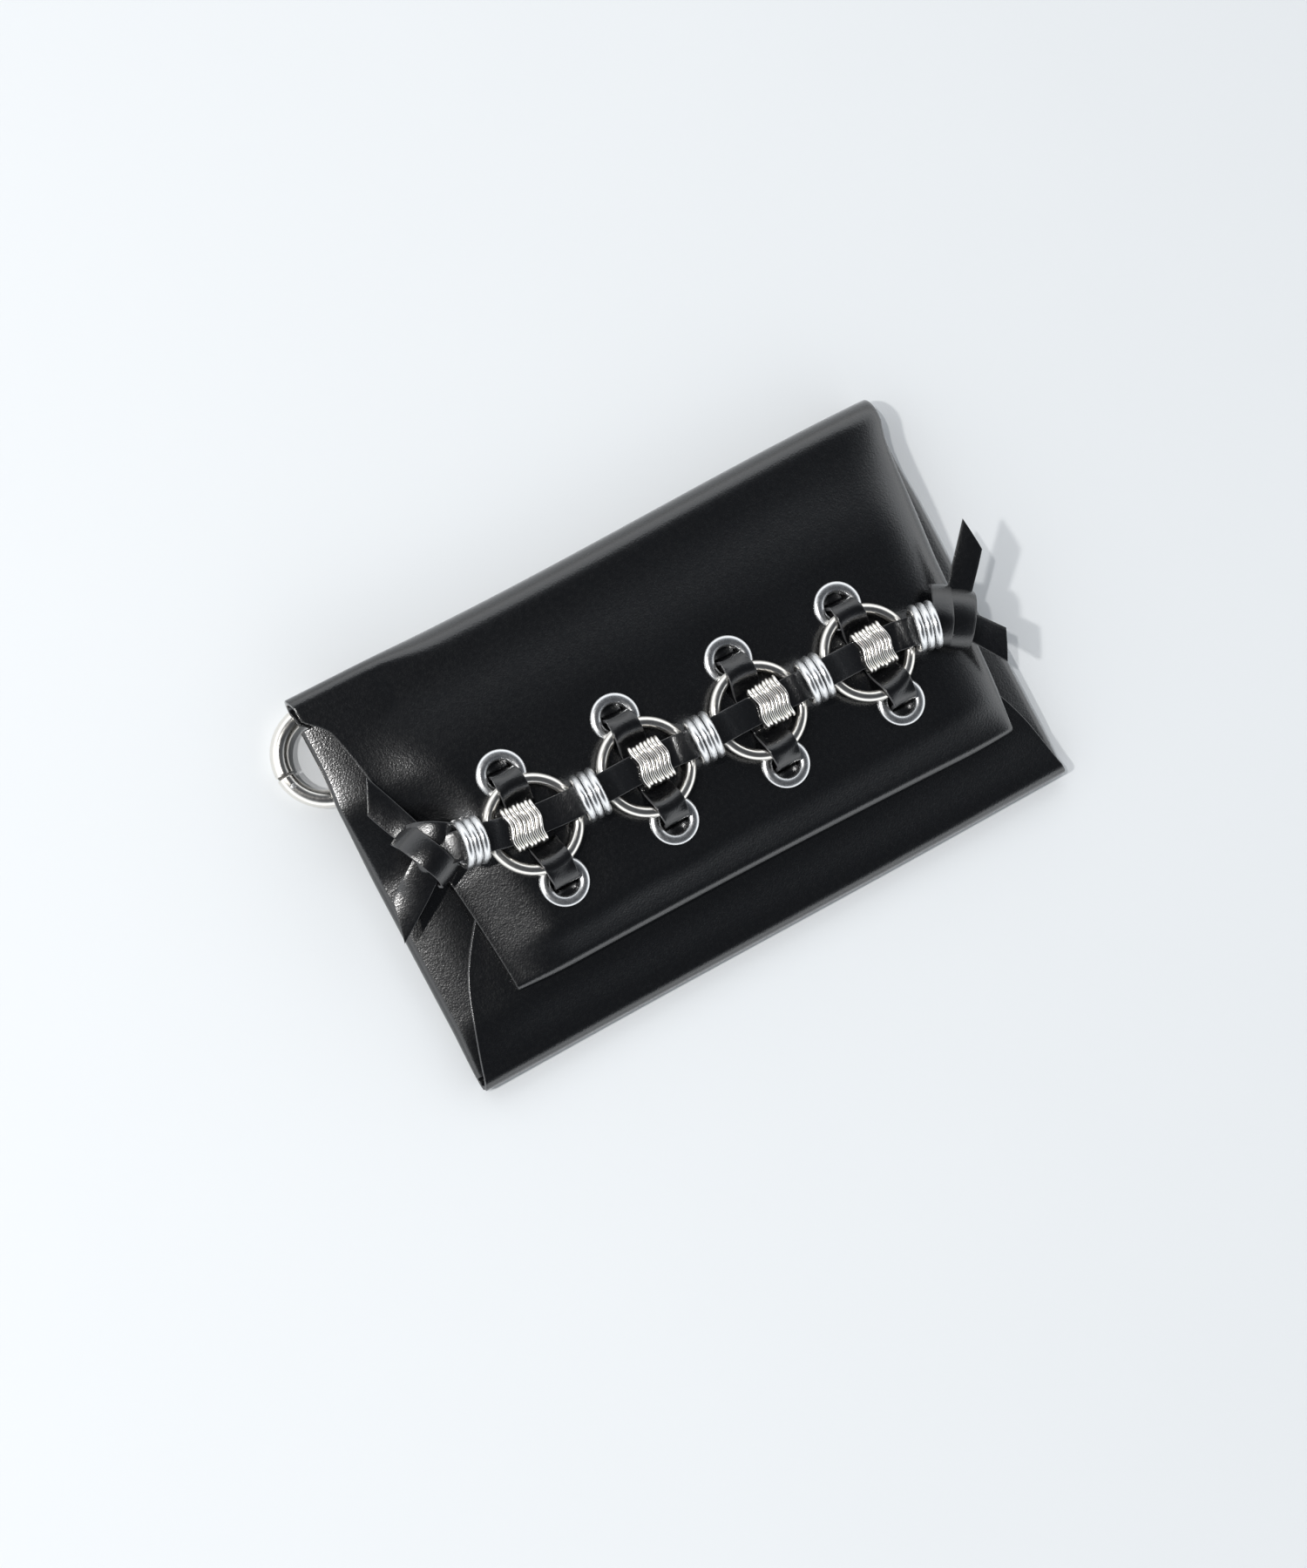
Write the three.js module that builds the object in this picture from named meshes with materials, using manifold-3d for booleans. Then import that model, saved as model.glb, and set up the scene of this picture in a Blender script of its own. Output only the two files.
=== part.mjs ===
// Flap wallet in black leather with a laced row of metal rings on its flap and a spring-gate ring for a chain.
// Millimetres. X runs along the width, Y towards the top fold, Z up from the back face. The origin is the centre of the back face.
import * as THREE from "three";
import Module from "manifold-3d";

// ---- driving dimensions ----
const WIDTH = 180; // closed body, side fold to side fold
const HEIGHT = 113; // bottom fold to top fold
const BACK_T = 1.6; // back panel leather
const WING_T = 1.3; // side wing leather
const FRONT_T = 1.4; // front panel leather
const OUTER_T = 1.3; // flap outer leather
const LINING_T = 1.0; // flap lining leather
const WING_TOP = 7.3; // top of a side wing
const FRONT_TOP = 9.0; // top of the front panel
const FLAP_TOP = 16.5; // level part of the closed flap
const FOLD_TOP = 14; // top of the fold between back and flap
const CORNER_LIFT = 6.8; // the top left corner rides over the spring ring by this much
const EYELET_R = 6.65;
const EYELET_HOLE_R = 3.75;
const O_RING_R = 11.7; // centre line of an O-ring
const O_WIRE_R = 1.6;
const O_RING_Z = 19.55;
const JUMP_R = 5.6; // centre line of a jump ring
const JUMP_WIRE_R = 1.05;
const JUMP_PITCH = 2.17;
const LACE_W = 7.8;
const LACE_T = 1.1;
const LACE_GAP = 0.2; // between the two layers of the lace
const STRIP_W = 7.9;
const STRIP_T = 1.1;
const CUFF = { halfAlong: 4.55, halfAcross: 6.2, halfHigh: 2.85, innerAcross: 4.95, innerHigh: 1.95, ridges: 7 };
const CLIP = { x: -87, y: 40.2, z: 3.25, r: 11.75, wire: 2.4, tilt: 3.9, pin: 199, tip: 97 };

const O_RINGS = [[-50.4, -0.9], [-17.1, -1.6], [16.7, -2.3], [50.6, -2.3]];
const EYELETS_UPPER = [[-51.2, 14.1], [-17.7, 13.4], [16.6, 13.0], [50.3, 12.3]];
const EYELETS_LOWER = [[-49.6, -17.7], [-16.4, -17.2], [17.4, -18.0], [53.7, -18.0]];
const CUFFS = [[-53, 0, -5], [-15.8, -1.0, -1.5], [19.9, -1.8, 0], [52, -1.8, -0.5]]; // centre and turn about Z in degrees
// centre of the middle ring of each three, how far their tops lean towards +X and their turn about Z in degrees
const TRIOS = [[-67.6, 2.7, 23.0, 8, -8], [-34.5, -1.1, 23.75, -8, -1], [-1.0, -1.9, 23.75, -8, -1], [32.9, -1.8, 23.75, -8, 0], [66.6, -3.3, 23.95, -9, -12]];
const SNAP = [0, -17.5];

const wasm = await Module();
wasm.setup();

// ---- small helpers ----
const V = (x, y, z) => new THREE.Vector3(x, y, z);
const rad = THREE.MathUtils.degToRad;
const lerp = (a, b, t) => a + (b - a) * t;
const sm = (t) => {
  const c = Math.min(1, Math.max(0, t));
  return c * c * (3 - 2 * c);
};
// piecewise linear value through [x, y] pairs in rising x
function table(pairs, x) {
  if (x <= pairs[0][0]) return pairs[0][1];
  for (let i = 1; i < pairs.length; i++)
    if (x <= pairs[i][0])
      return lerp(pairs[i - 1][1], pairs[i][1], (x - pairs[i - 1][0]) / (pairs[i][0] - pairs[i - 1][0]));
  return pairs[pairs.length - 1][1];
}
// smooth value through [x, y] pairs
function smoothTable(pairs, x) {
  const n = pairs.length;
  if (x <= pairs[0][0]) return pairs[0][1];
  if (x >= pairs[n - 1][0]) return pairs[n - 1][1];
  let i = 1;
  while (x > pairs[i][0]) i++;
  const p = (k) => pairs[Math.min(n - 1, Math.max(0, k))];
  const [x0, y0] = p(i - 1), [x1, y1] = p(i);
  const h = x1 - x0, t = (x - x0) / h;
  const slope = (k) => {
    const a = p(k - 1), b = p(k), c = p(k + 1);
    if (a === b || b === c) return b === c && a !== b ? (b[1] - a[1]) / (b[0] - a[0]) : (c[1] - b[1]) / (c[0] - b[0]);
    const s0 = (b[1] - a[1]) / (b[0] - a[0]), s1 = (c[1] - b[1]) / (c[0] - b[0]);
    return s0 * s1 <= 0 ? 0 : (2 * s0 * s1) / (s0 + s1);
  };
  const m0 = slope(i - 1), m1 = slope(i);
  return (2 * t ** 3 - 3 * t ** 2 + 1) * y0 + (t ** 3 - 2 * t ** 2 + t) * h * m0 + (-2 * t ** 3 + 3 * t ** 2) * y1 + (t ** 3 - t ** 2) * h * m1;
}
function signedVolume(g) {
  const p = g.getAttribute("position"), ix = g.index.array;
  let v = 0;
  const a = V(), b = V(), c = V();
  for (let i = 0; i < ix.length; i += 3) {
    a.fromBufferAttribute(p, ix[i]);
    b.fromBufferAttribute(p, ix[i + 1]);
    c.fromBufferAttribute(p, ix[i + 2]);
    v += a.dot(b.cross(c)) / 6;
  }
  return v;
}
function geometryOf(points, index) {
  const g = new THREE.BufferGeometry();
  g.setAttribute("position", new THREE.Float32BufferAttribute(points.flatMap((p) => [p.x, p.y, p.z]), 3));
  g.setIndex(index);
  if (signedVolume(g) < 0) {
    const ix = g.index.array;
    for (let i = 0; i < ix.length; i += 3) [ix[i + 1], ix[i + 2]] = [ix[i + 2], ix[i + 1]];
  }
  g.computeVertexNormals();
  return g;
}
// a closed sheet between two grids of points; closedU joins the last row to the first
function sheet(top, bottom, closedU = false) {
  const nu = top.length, nv = top[0].length, points = [...top.flat(), ...bottom.flat()];
  const T = (i, j) => (i % nu) * nv + j, B = (i, j) => nu * nv + (i % nu) * nv + j;
  const index = [], quad = (a, b, c, d) => index.push(a, b, c, a, c, d);
  const iu = closedU ? nu : nu - 1;
  for (let i = 0; i < iu; i++) {
    for (let j = 0; j < nv - 1; j++) {
      quad(T(i, j), T(i + 1, j), T(i + 1, j + 1), T(i, j + 1));
      quad(B(i, j), B(i, j + 1), B(i + 1, j + 1), B(i + 1, j));
    }
    quad(T(i, 0), B(i, 0), B(i + 1, 0), T(i + 1, 0));
    quad(T(i, nv - 1), T(i + 1, nv - 1), B(i + 1, nv - 1), B(i, nv - 1));
  }
  if (!closedU)
    for (let j = 0; j < nv - 1; j++) {
      quad(T(0, j), T(0, j + 1), B(0, j + 1), B(0, j));
      quad(T(nu - 1, j), B(nu - 1, j), B(nu - 1, j + 1), T(nu - 1, j + 1));
    }
  return geometryOf(points, index);
}
// a leather sheet of thickness t about a grid of middle points
function thick(mid, t, closedU = false) {
  const nu = mid.length, nv = mid[0].length, top = [], bottom = [];
  for (let i = 0; i < nu; i++) {
    top.push([]);
    bottom.push([]);
    for (let j = 0; j < nv; j++) {
      const i0 = closedU ? (i - 1 + nu) % nu : Math.max(0, i - 1), i1 = closedU ? (i + 1) % nu : Math.min(nu - 1, i + 1);
      const du = mid[i1][j].clone().sub(mid[i0][j]);
      const dv = mid[i][Math.min(nv - 1, j + 1)].clone().sub(mid[i][Math.max(0, j - 1)]);
      const n = du.cross(dv).normalize().multiplyScalar(t / 2);
      top[i].push(mid[i][j].clone().add(n));
      bottom[i].push(mid[i][j].clone().sub(n));
    }
  }
  return sheet(top, bottom, closedU);
}
const grid = (us, vs, f) => us.map((u) => vs.map((v) => f(u, v)));
const steps = (n, a = 0, b = 1) => Array.from({ length: n + 1 }, (_, i) => lerp(a, b, i / n));

function toSolid(g) {
  const flat = g.index ? g : geometryIndexed(g);
  const p = flat.getAttribute("position").array, keys = new Map(), verts = [], map = [];
  for (let i = 0; i < p.length; i += 3) {
    const k = [p[i], p[i + 1], p[i + 2]].map((x) => Math.round(x * 1e4)).join();
    if (!keys.has(k)) {
      keys.set(k, verts.length / 3);
      verts.push(p[i], p[i + 1], p[i + 2]);
    }
    map.push(keys.get(k));
  }
  const tri = [];
  for (let i = 0; i < flat.index.count; i += 3) {
    const [a, b, c] = [0, 1, 2].map((k) => map[flat.index.getX(i + k)]);
    if (a !== b && b !== c && c !== a) tri.push(a, b, c);
  }
  return new wasm.Manifold(new wasm.Mesh({ numProp: 3, vertProperties: new Float32Array(verts), triVerts: new Uint32Array(tri) }));
}
function geometryIndexed(g) {
  const n = g.getAttribute("position").count, out = g.clone();
  out.setIndex([...Array(n).keys()]);
  return out;
}
function fromSolid(s) {
  const m = s.getMesh(), n = m.numProp, g = new THREE.BufferGeometry(), v = new Float32Array(m.numVert * 3);
  for (let i = 0; i < m.numVert; i++) v.set(m.vertProperties.subarray(i * n, i * n + 3), i * 3);
  g.setAttribute("position", new THREE.BufferAttribute(v, 3));
  g.setIndex(new THREE.BufferAttribute(m.triVerts, 1));
  g.computeVertexNormals();
  return g;
}
const cylinder = (r, z0, z1, x, y, segments = 24) => new THREE.CylinderGeometry(r, r, z1 - z0, segments).rotateX(Math.PI / 2).translate(x, y, (z0 + z1) / 2);
const box = (x0, x1, y0, y1, z0, z1) => new THREE.BoxGeometry(x1 - x0, y1 - y0, z1 - z0).translate((x0 + x1) / 2, (y0 + y1) / 2, (z0 + z1) / 2);
// a prism on a polygon in XY
function prism(points, z0, z1) {
  const shape = new THREE.Shape(points.map(([x, y]) => new THREE.Vector2(x, y)));
  return new THREE.ExtrudeGeometry(shape, { depth: z1 - z0, bevelEnabled: false }).translate(0, 0, z0);
}
const cut = (g, ...tools) => fromSolid(tools.reduce((s, t) => s.subtract(toSolid(t)), toSolid(g)));
const join = (...gs) => fromSolid(gs.slice(1).reduce((s, t) => s.add(toSolid(t)), toSolid(gs[0])));
const common = (a, b) => fromSolid(toSolid(a).intersect(toSolid(b)));
function lathe(profile, segments) {
  const pts = [...profile, profile[0]].map(([r, z]) => new THREE.Vector2(r, z));
  const g = new THREE.LatheGeometry(pts, segments).rotateX(Math.PI / 2);
  return fromSolid(solidOut(g));
}
function solidOut(g) {
  const s = toSolid(g);
  if (s.volume() >= 0) return s;
  const ix = g.index.array;
  for (let i = 0; i < ix.length; i += 3) [ix[i + 1], ix[i + 2]] = [ix[i + 2], ix[i + 1]];
  return toSolid(g);
}

// ---- materials ----
const mat = (color, metalness, roughness) => new THREE.MeshStandardMaterial({ color, metalness, roughness });
const leather = () => mat(0x0b0b0d, 0, 0.35);
const lining = () => mat(0x17151a, 0, 0.7);
const nickel = () => mat(0xcfcdc6, 1, 0.18);
const satin = () => mat(0xb9bbbd, 1, 0.38);
const group = new THREE.Group();
function add(name, geometry, material) {
  const mesh = new THREE.Mesh(geometry, material);
  mesh.name = name;
  group.add(mesh);
  return mesh;
}

// ---- shape of the leather body ----
const lift = (x, y) => CORNER_LIFT * sm((-48 - x) / 22) * sm((y - 2) / 24);
const lift6 = (x, y) => 0.6 * lift(x, y);
// the lower end of body and wings thins towards the bottom fold
const slope = (y) => 2.75 * sm((-37 - y) / 16);
const bodyHalf = WIDTH / 2;
const yFoldEdge = 49.2; // where back panel and flap meet the top fold

add("back_panel", (() => {
  const xs = [-84.2, -79, -74, -70, -66, -62, -58, -54, -50, -44, 0, 84.2];
  const ys = [-52.6, 0, 5, 10, 15, 20, 25, 32, 40, yFoldEdge];
  const g = sheet(
    grid(xs, ys, (x, y) => V(x, y, BACK_T + lift(x, y))),
    grid(xs, ys, (x, y) => V(x, y, lift(x, y))),
  );
  return cut(g, box(-79.95, -78.45, 36.9, 43.5, 5, 11), box(-72.75, -71.25, 36.9, 43.5, 5, 11));
})(), leather());

// side wing: a short lip under the body, the side fold, then the wing over the compartment
function wing(side, topY) {
  const ys = side < 0 ? [-52.3, -49, -45, -41, -37, 2, 7, 12, 17, 22, 27, topY] : [-52.3, -49, -45, -41, -37, topY];
  const arc = steps(7), top = side < 0 ? [0.12, 0.3, 0.5, 0.75, 1] : [0.5, 1];
  const mid = ys.map((y) => {
    const row = [], X = (x) => side * x;
    const zb = WING_T / 2 + lift(X(88), y), zt = WING_TOP - WING_T / 2 - slope(y) + lift6(X(88), y);
    const r = (zt - zb) / 2, cx = bodyHalf - WING_T / 2 - r, inner = 50;
    row.push(V(X(84.5), y, zb));
    for (const a of arc) {
      const t = -Math.PI / 2 + a * Math.PI;
      row.push(V(X(Math.max(84.7, cx) + r * Math.cos(t) - Math.max(0, 84.7 - cx)), y, (zb + zt) / 2 + r * Math.sin(t)));
    }
    for (const t of top) {
      const x = lerp(cx, inner, t);
      row.push(V(X(x), y, WING_TOP - WING_T / 2 - slope(y) + lift6(X(x), y)));
    }
    return row;
  });
  return thick(mid, WING_T);
}
add("left_wing", wing(-1, 47.5), leather());
add("right_wing", wing(1, 47.5), leather());

// front panel: folded up from the bottom edge, narrowing to a tongue under the flap
const frontHalf = (y) => smoothTable([[-57, 89.7], [-45, 86.4], [-30.6, 81.6], [-16.3, 73.3], [0, 61], [14, 46], [22, 34]], y);
add("front_panel", (() => {
  const zt0 = 6.4 - FRONT_T / 2, zb = FRONT_T / 2, r = (zt0 - zb) / 2, cy = -HEIGHT / 2 + FRONT_T / 2 + r;
  const path = [[-52.9, zb], [cy, zb]];
  for (const a of steps(7).slice(1)) {
    const t = -Math.PI / 2 - a * Math.PI;
    path.push([cy + r * Math.cos(t), (zb + zt0) / 2 + r * Math.sin(t)]);
  }
  for (const y of [-50, -47, -44, -41, -37.5, -30, -22, -14, -5, 5, 14, 22])
    path.push([y, zt0 + (FRONT_TOP - FRONT_T / 2 - zt0) * sm((y + 53.5) / 15)]);
  const us = [-1, -0.5, 0, 0.5, 1];
  const mid = grid(us, path, (u, [y, z]) => {
    const x = u * frontHalf(z < 2 ? -57 : y);
    return V(x, y, z);
  });
  return cut(thick(mid, FRONT_T), cylinder(1.9, 6, 11, ...SNAP));
})(), leather());

add("card_pocket", join(
  box(-46, 46, -49, 8, 2.6, 3.4),
  box(-46, -44, -49, 8, 1.9, 2.7),
  box(44, 46, -49, 8, 1.9, 2.7),
  box(-46, 46, -49, -47, 1.9, 2.7),
), lining());

// ---- shape of the flap ----
const flapLeft = (y) => smoothTable([[-40, -72.2], [-20, -73.6], [-3, -75.4], [14, -77.4], [29, -81.6], [36, -82.9], [44, -85], [49.5, -89.5]], y);
const flapRight = (y) => smoothTable([[-40, 79.5], [-20, 81.4], [5, 82.6], [28, 84.6], [44, 86.2], [49.5, 88.2]], y);
const PILLOW = 14; // the flap rises from its side edges over this distance
// underside of the lining at the side edges
const edgeUnder = (y) => lerp(9.55, 7.65, sm((y + 8) / 22));
const crown = (y) => FOLD_TOP + (FLAP_TOP - FOLD_TOP) * sm((47 - y) / 25) - 1.1 * sm((-26 - y) / 11);
const pillow = (x, y) => Math.sin((Math.PI / 2) * Math.min(1, Math.max(0, Math.min(x - flapLeft(y), flapRight(y) - x)) / PILLOW));
const outerTop = (x, y) => {
  const e = edgeUnder(y) + LINING_T + 0.3 + OUTER_T, c = Math.max(crown(y), e);
  const l = lift6(x, y);
  return e + l + Math.max(0, c - e - l) * pillow(x, y);
};
const hemLine = (u) => lerp(-35.7, -38.2, u) + 0.8 * (1 - (2 * u - 1) ** 2);
const hemR = (u) => lerp(0.72, 1.55, Math.sin((Math.PI / 2) * Math.min(1, Math.min(u, 1 - u) / 0.12)));
const acrossU = [0, 0.018, 0.04, 0.065, 0.09, 0.13, 0.2, 0.35, 0.5, 0.65, 0.8, 0.87, 0.91, 0.935, 0.96, 0.982, 1];

add("flap_fold", (() => {
  const path = [0, ...steps(9).map((a) => 1 + a), 3];
  const mid = grid(acrossU, path, (u, s) => {
    const x = lerp(-90.4, 88.6, u);
    const zb = BACK_T / 2 + lift(x, 50), zt = outerTop(lerp(flapLeft(49.5), flapRight(49.5), u), 49.5) - OUTER_T / 2;
    const r = (zt - zb) / 2, cy = HEIGHT / 2 - OUTER_T / 2 - r;
    if (s < 1) return V(x, lerp(49.5, cy, s), zb);
    if (s > 2) return V(x, lerp(cy, 49.5, s - 2), zt);
    const t = -Math.PI / 2 + (s - 1) * Math.PI;
    return V(x, cy + r * Math.cos(t), (zb + zt) / 2 + r * Math.sin(t));
  });
  return thick(mid, OUTER_T);
})(), leather());

add("flap_outer", (() => {
  const plate = [yFoldEdge, 44, 38, 32, 26, 19, 11, 2, -7, -16, -25, -30].map((y) => ["y", y]);
  const hem = [["h", 0], ...steps(7).slice(1).map((a) => ["a", a]), ["r", 0.5], ["r", 1]];
  const mid = grid(acrossU, [...plate, ...hem], (u, [kind, s]) => {
    const y0 = hemLine(u), y = kind === "y" ? Math.max(s, y0 + 2) : y0;
    const x = lerp(flapLeft(y), flapRight(y), u);
    const z = outerTop(x, y) - OUTER_T / 2;
    if (kind === "y" || kind === "h") return V(x, y, z);
    const r = hemR(u), t = Math.PI / 2 + (kind === "a" ? s : 1) * Math.PI;
    return V(x, y0 + r * Math.cos(t) + (kind === "r" ? s * 8.5 : 0), z - r + r * Math.sin(t));
  });
  const holes = [...EYELETS_UPPER, ...EYELETS_LOWER].map(([x, y]) => cylinder(4.65, 14, 18, x, y, 18));
  return cut(thick(mid, OUTER_T), ...holes);
})(), leather());

add("flap_lining", (() => {
  const vs = steps(10);
  const mid = grid(acrossU, vs, (u, v) => {
    const y = lerp(44.5, hemLine(u) + 9.4, v);
    const x = lerp(flapLeft(y) + 0.8, flapRight(y) - 0.8, u);
    const e = edgeUnder(y) + LINING_T / 2 + lift6(x, y), c = crown(y) - 4.6;
    return V(x, y, e + Math.max(0, c - e) * pillow(x, y));
  });
  return cut(thick(mid, LINING_T), cylinder(1.9, 9, 16, ...SNAP));
})(), lining());

add("snap_socket", lathe([[0, 9.3], [7.5, 9.3], [7.5, 10.1], [0.9, 10.1], [0.9, 9.7], [0, 9.7]].concat([]), 24).translate(...SNAP, 0), nickel());
add("snap_stud", lathe([[0, 10.35], [7.2, 10.35], [7.5, 10.6], [7.5, 11.1], [1.5, 11.1], [1.5, 13.3], [0, 13.3]], 24).translate(...SNAP, 0), nickel());
add("snap_stud_washer", lathe([[2.0, 12.7], [6, 12.7], [6, 13.1], [2.0, 13.1]], 24).translate(...SNAP, 0), satin());

// ---- eyelets ----
function eyelet(x, y) {
  const h = EYELET_HOLE_R, R = EYELET_R, z = FLAP_TOP;
  return lathe([
    [h, z - 1.75], [h, z + 0.45], [h + 0.45, z + 0.95], [h + 1.35, z + 1.15], [R - 0.55, z + 0.85], [R, z + 0.15],
    [h + 0.7, z + 0.12], [h + 0.7, z - 1.48], [R - 1.0, z - 1.5], [R - 1.0, z - 1.75],
  ], 18).translate(x, y, 0);
}
EYELETS_UPPER.forEach(([x, y], i) => add("eyelet_upper_" + (i + 1), eyelet(x, y), satin()));
EYELETS_LOWER.forEach(([x, y], i) => add("eyelet_lower_" + (i + 1), eyelet(x, y), satin()));

// ---- O-rings, each held by a strip that runs from eyelet to eyelet over both rims ----
O_RINGS.forEach(([x, y], i) => add("o_ring_" + (i + 1), new THREE.TorusGeometry(O_RING_R, O_WIRE_R, 8, 30).translate(x, y, O_RING_Z), nickel()));
O_RINGS.forEach(([rx, ry], i) => {
  const [ux, uy] = EYELETS_UPPER[i], [lx, ly] = EYELETS_LOWER[i];
  // from the rim outwards: distance from the ring centre, or from the hole centre where h is set, with height and width
  const half = (hole) => [
    { d: 0, z: 17.6, w: STRIP_W }, { d: 3, z: 17.6, w: STRIP_W }, { d: 5.2, z: 17.75, w: STRIP_W }, { d: 6.9, z: 18.5, w: STRIP_W }, { d: 8.6, z: 20.1, w: STRIP_W },
    { d: 10.1, z: 21.55, w: STRIP_W }, { d: 11.8, z: 22.1, w: STRIP_W }, { d: 13.5, z: 21.5, w: 7.6 }, { d: hole - 0.1, z: 19.8, w: 6.9 },
    { d: hole + 0.3, z: 17.8, w: 6.3 }, { d: hole + 0.5, z: 16, w: 6.1 }, { d: hole + 0.9, z: 14.6, w: 6.1 }, { d: hole + 2.2, z: 13.78, w: 6.4 },
    { d: hole + 5, z: 13.72, w: 7.4 }, { d: hole + 9, z: 13.72, w: 7.6 },
  ];
  const up = half(uy - ry), down = half(ry - ly);
  const all = [...down.slice(1).reverse().map((p) => ({ ...p, d: -p.d })), ...up];
  const mid = all.map(({ d, z, w }) => {
    const x = lerp(lx, ux, (ry + d - ly) / (uy - ly)), a = Math.abs(d);
    // the strip keeps to the curve of the rim it crosses
    const follow = sm((a - 4.5) / 3) * sm((14.4 - a) / 1.2);
    return [-w / 2, w / 2].map((q) => {
      const inward = O_RING_R - Math.sqrt(O_RING_R ** 2 - Math.min(9, Math.abs(x + q - rx)) ** 2);
      return V(x + q, ry + Math.sign(d) * (a - inward * follow), z);
    });
  });
  add("ring_strip_" + (i + 1), thick(mid, STRIP_T), leather());
});

// ---- lace: two layers over the O-ring rims, through the jump rings and cuffs ----
const LACE_PATH = [
  [-73.0, 3.5, 22.1], [-70.4, 3.1, 22.7], [-67.1, 2.7, 22.95], [-62.4, 1.6, 22.9], [-58.6, 0.7, 22.2], [-53, 0, 21.95], [-46, -0.6, 21.95], [-41.8, -0.9, 22.3], [-38.7, -1.0, 22.75],
  [-34.7, -1.1, 23.1], [-28.8, -1.1, 22.75], [-25.4, -1.05, 22.3], [-21.8, -1, 21.95], [-15.8, -1, 21.9], [-9.8, -1.3, 21.95], [-7.6, -1.5, 22.4], [-5.0, -1.7, 22.8], [-1.2, -1.9, 23.1],
  [5.0, -1.85, 22.75], [8.4, -1.8, 22.3], [12.5, -1.8, 21.95], [19.9, -1.8, 21.9], [25.4, -1.8, 22.15], [28.4, -1.8, 22.75], [32.7, -1.8, 23.1], [38.9, -1.8, 22.75],
  [42.3, -1.8, 22.3], [46, -1.8, 21.95], [52, -1.8, 21.9], [57.6, -1.95, 22.0], [60, -2.3, 22.4], [62.3, -2.6, 23.0], [66.6, -3.3, 23.55], [70, -4.1, 23.4], [73.0, -4.9, 22.7],
];
function lace(offset) {
  const mid = LACE_PATH.map(([x, y, z], i) => {
    const a = LACE_PATH[Math.max(0, i - 1)], b = LACE_PATH[Math.min(LACE_PATH.length - 1, i + 1)];
    const t = V(b[0] - a[0], b[1] - a[1], b[2] - a[2]).normalize();
    const across = V(-t.y, t.x, 0).normalize(), n = t.clone().cross(across);
    const c = V(x, y, z).add(n.multiplyScalar(offset));
    return [c.clone().addScaledVector(across, -LACE_W / 2), c.clone().addScaledVector(across, LACE_W / 2)];
  });
  return thick(mid, LACE_T);
}
add("lace_lower", lace(-(LACE_T + LACE_GAP) / 2), leather());
add("lace_upper", lace((LACE_T + LACE_GAP) / 2), leather());

// ---- jump rings in threes ----
TRIOS.forEach(([x, y, z, lean, turn], i) =>
  ["a", "b", "c"].forEach((letter, k) => {
    const g = new THREE.TorusGeometry(JUMP_R, JUMP_WIRE_R, 7, 18).rotateY(Math.PI / 2).translate((k - 1) * JUMP_PITCH, 0, 0).rotateY(rad(lean)).rotateZ(rad(turn)).translate(x, y, z);
    add("jump_ring_" + (i + 1) + letter, g, satin());
  }),
);

// ---- ridged cuffs ----
// a closed ring of closed outlines
function hoop(rows) {
  const n = rows.length, m = rows[0].length, index = [];
  for (let i = 0; i < n; i++)
    for (let j = 0; j < m; j++) {
      const a = i * m + j, b = ((i + 1) % n) * m + j, c = ((i + 1) % n) * m + ((j + 1) % m), d = i * m + ((j + 1) % m);
      index.push(a, b, c, a, c, d);
    }
  return geometryOf(rows.flat(), index);
}
CUFFS.forEach(([x, y, turn], i) => {
  const around = 20, count = CUFF.ridges * 2;
  const oval = (a, w, h, power) => {
    const c = Math.cos(a), d = Math.sin(a), k = 1 / (Math.abs(c) ** power + Math.abs(d) ** power) ** (1 / power);
    return [w * k * c, h * k * d];
  };
  const rows = steps(around).slice(0, around).map((u) => {
    const a = 2 * Math.PI * u, row = [];
    for (let j = 0; j <= count; j++) {
      const ridge = j % 2 ? 0 : -0.42, [yy, zz] = oval(a, CUFF.halfAcross + ridge, CUFF.halfHigh + ridge, 2.6);
      row.push(V(lerp(-CUFF.halfAlong, CUFF.halfAlong, j / count), yy, zz));
    }
    const [yy, zz] = oval(a, CUFF.innerAcross, CUFF.innerHigh, 4);
    row.push(V(CUFF.halfAlong, yy, zz), V(-CUFF.halfAlong, yy, zz));
    return row;
  });
  add("cuff_" + (i + 1), hoop(rows).rotateZ(rad(turn)).translate(x, y, 21.93), nickel());
});

// ---- knots, each with two loose tails ----
// a flat plate of leather through left and right edge points
function tail(left, right, t = 1.1) {
  const mid = left.map((p, i) => [V(...p), V(...right[i])]);
  return thick(mid, t);
}
function knot(cx, cy, cz, turn, size, tails) {
  const [a, b, c] = size;
  const body = new THREE.SphereGeometry(1, 12, 8);
  const p = body.getAttribute("position");
  for (let i = 0; i < p.count; i++) {
    const v = [p.getX(i), p.getY(i), p.getZ(i)].map((q) => Math.sign(q) * Math.abs(q) ** 0.62);
    p.setXYZ(i, v[0] * a, v[1] * b, v[2] * c);
  }
  body.rotateZ(rad(turn)).translate(cx, cy, cz);
  return join(body, ...tails);
}
add("left_knot", knot(-78.0, 4.3, 20.0, 62, [5.4, 3.6, 3.6], [
  tail([[-77.4, 9.5, 17.6], [-81.7, 17.5, 16.8], [-84.0, 24.5, 16.6], [-84.8, 29.6, 16.6]].map(([x, y, z]) => [x + 3.2, y + 3.2, z]), [[-80.6, 5.8, 17.4], [-84.2, 12.2, 16.8], [-85.9, 17.4, 16.6], [-86.4, 20.4, 16.4]]),
  tail([[-82.4, 5.2, 17.4], [-87.4, 0.8, 15.8], [-90.3, -1.6, 14.4], [-92.9, -10.6, 13.4]], [[-78.8, -1.2, 17.2], [-84.6, -6.4, 15.8], [-89.4, -10.2, 14.2], [-92.0, -12.4, 13.3]]),
]), leather());
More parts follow.
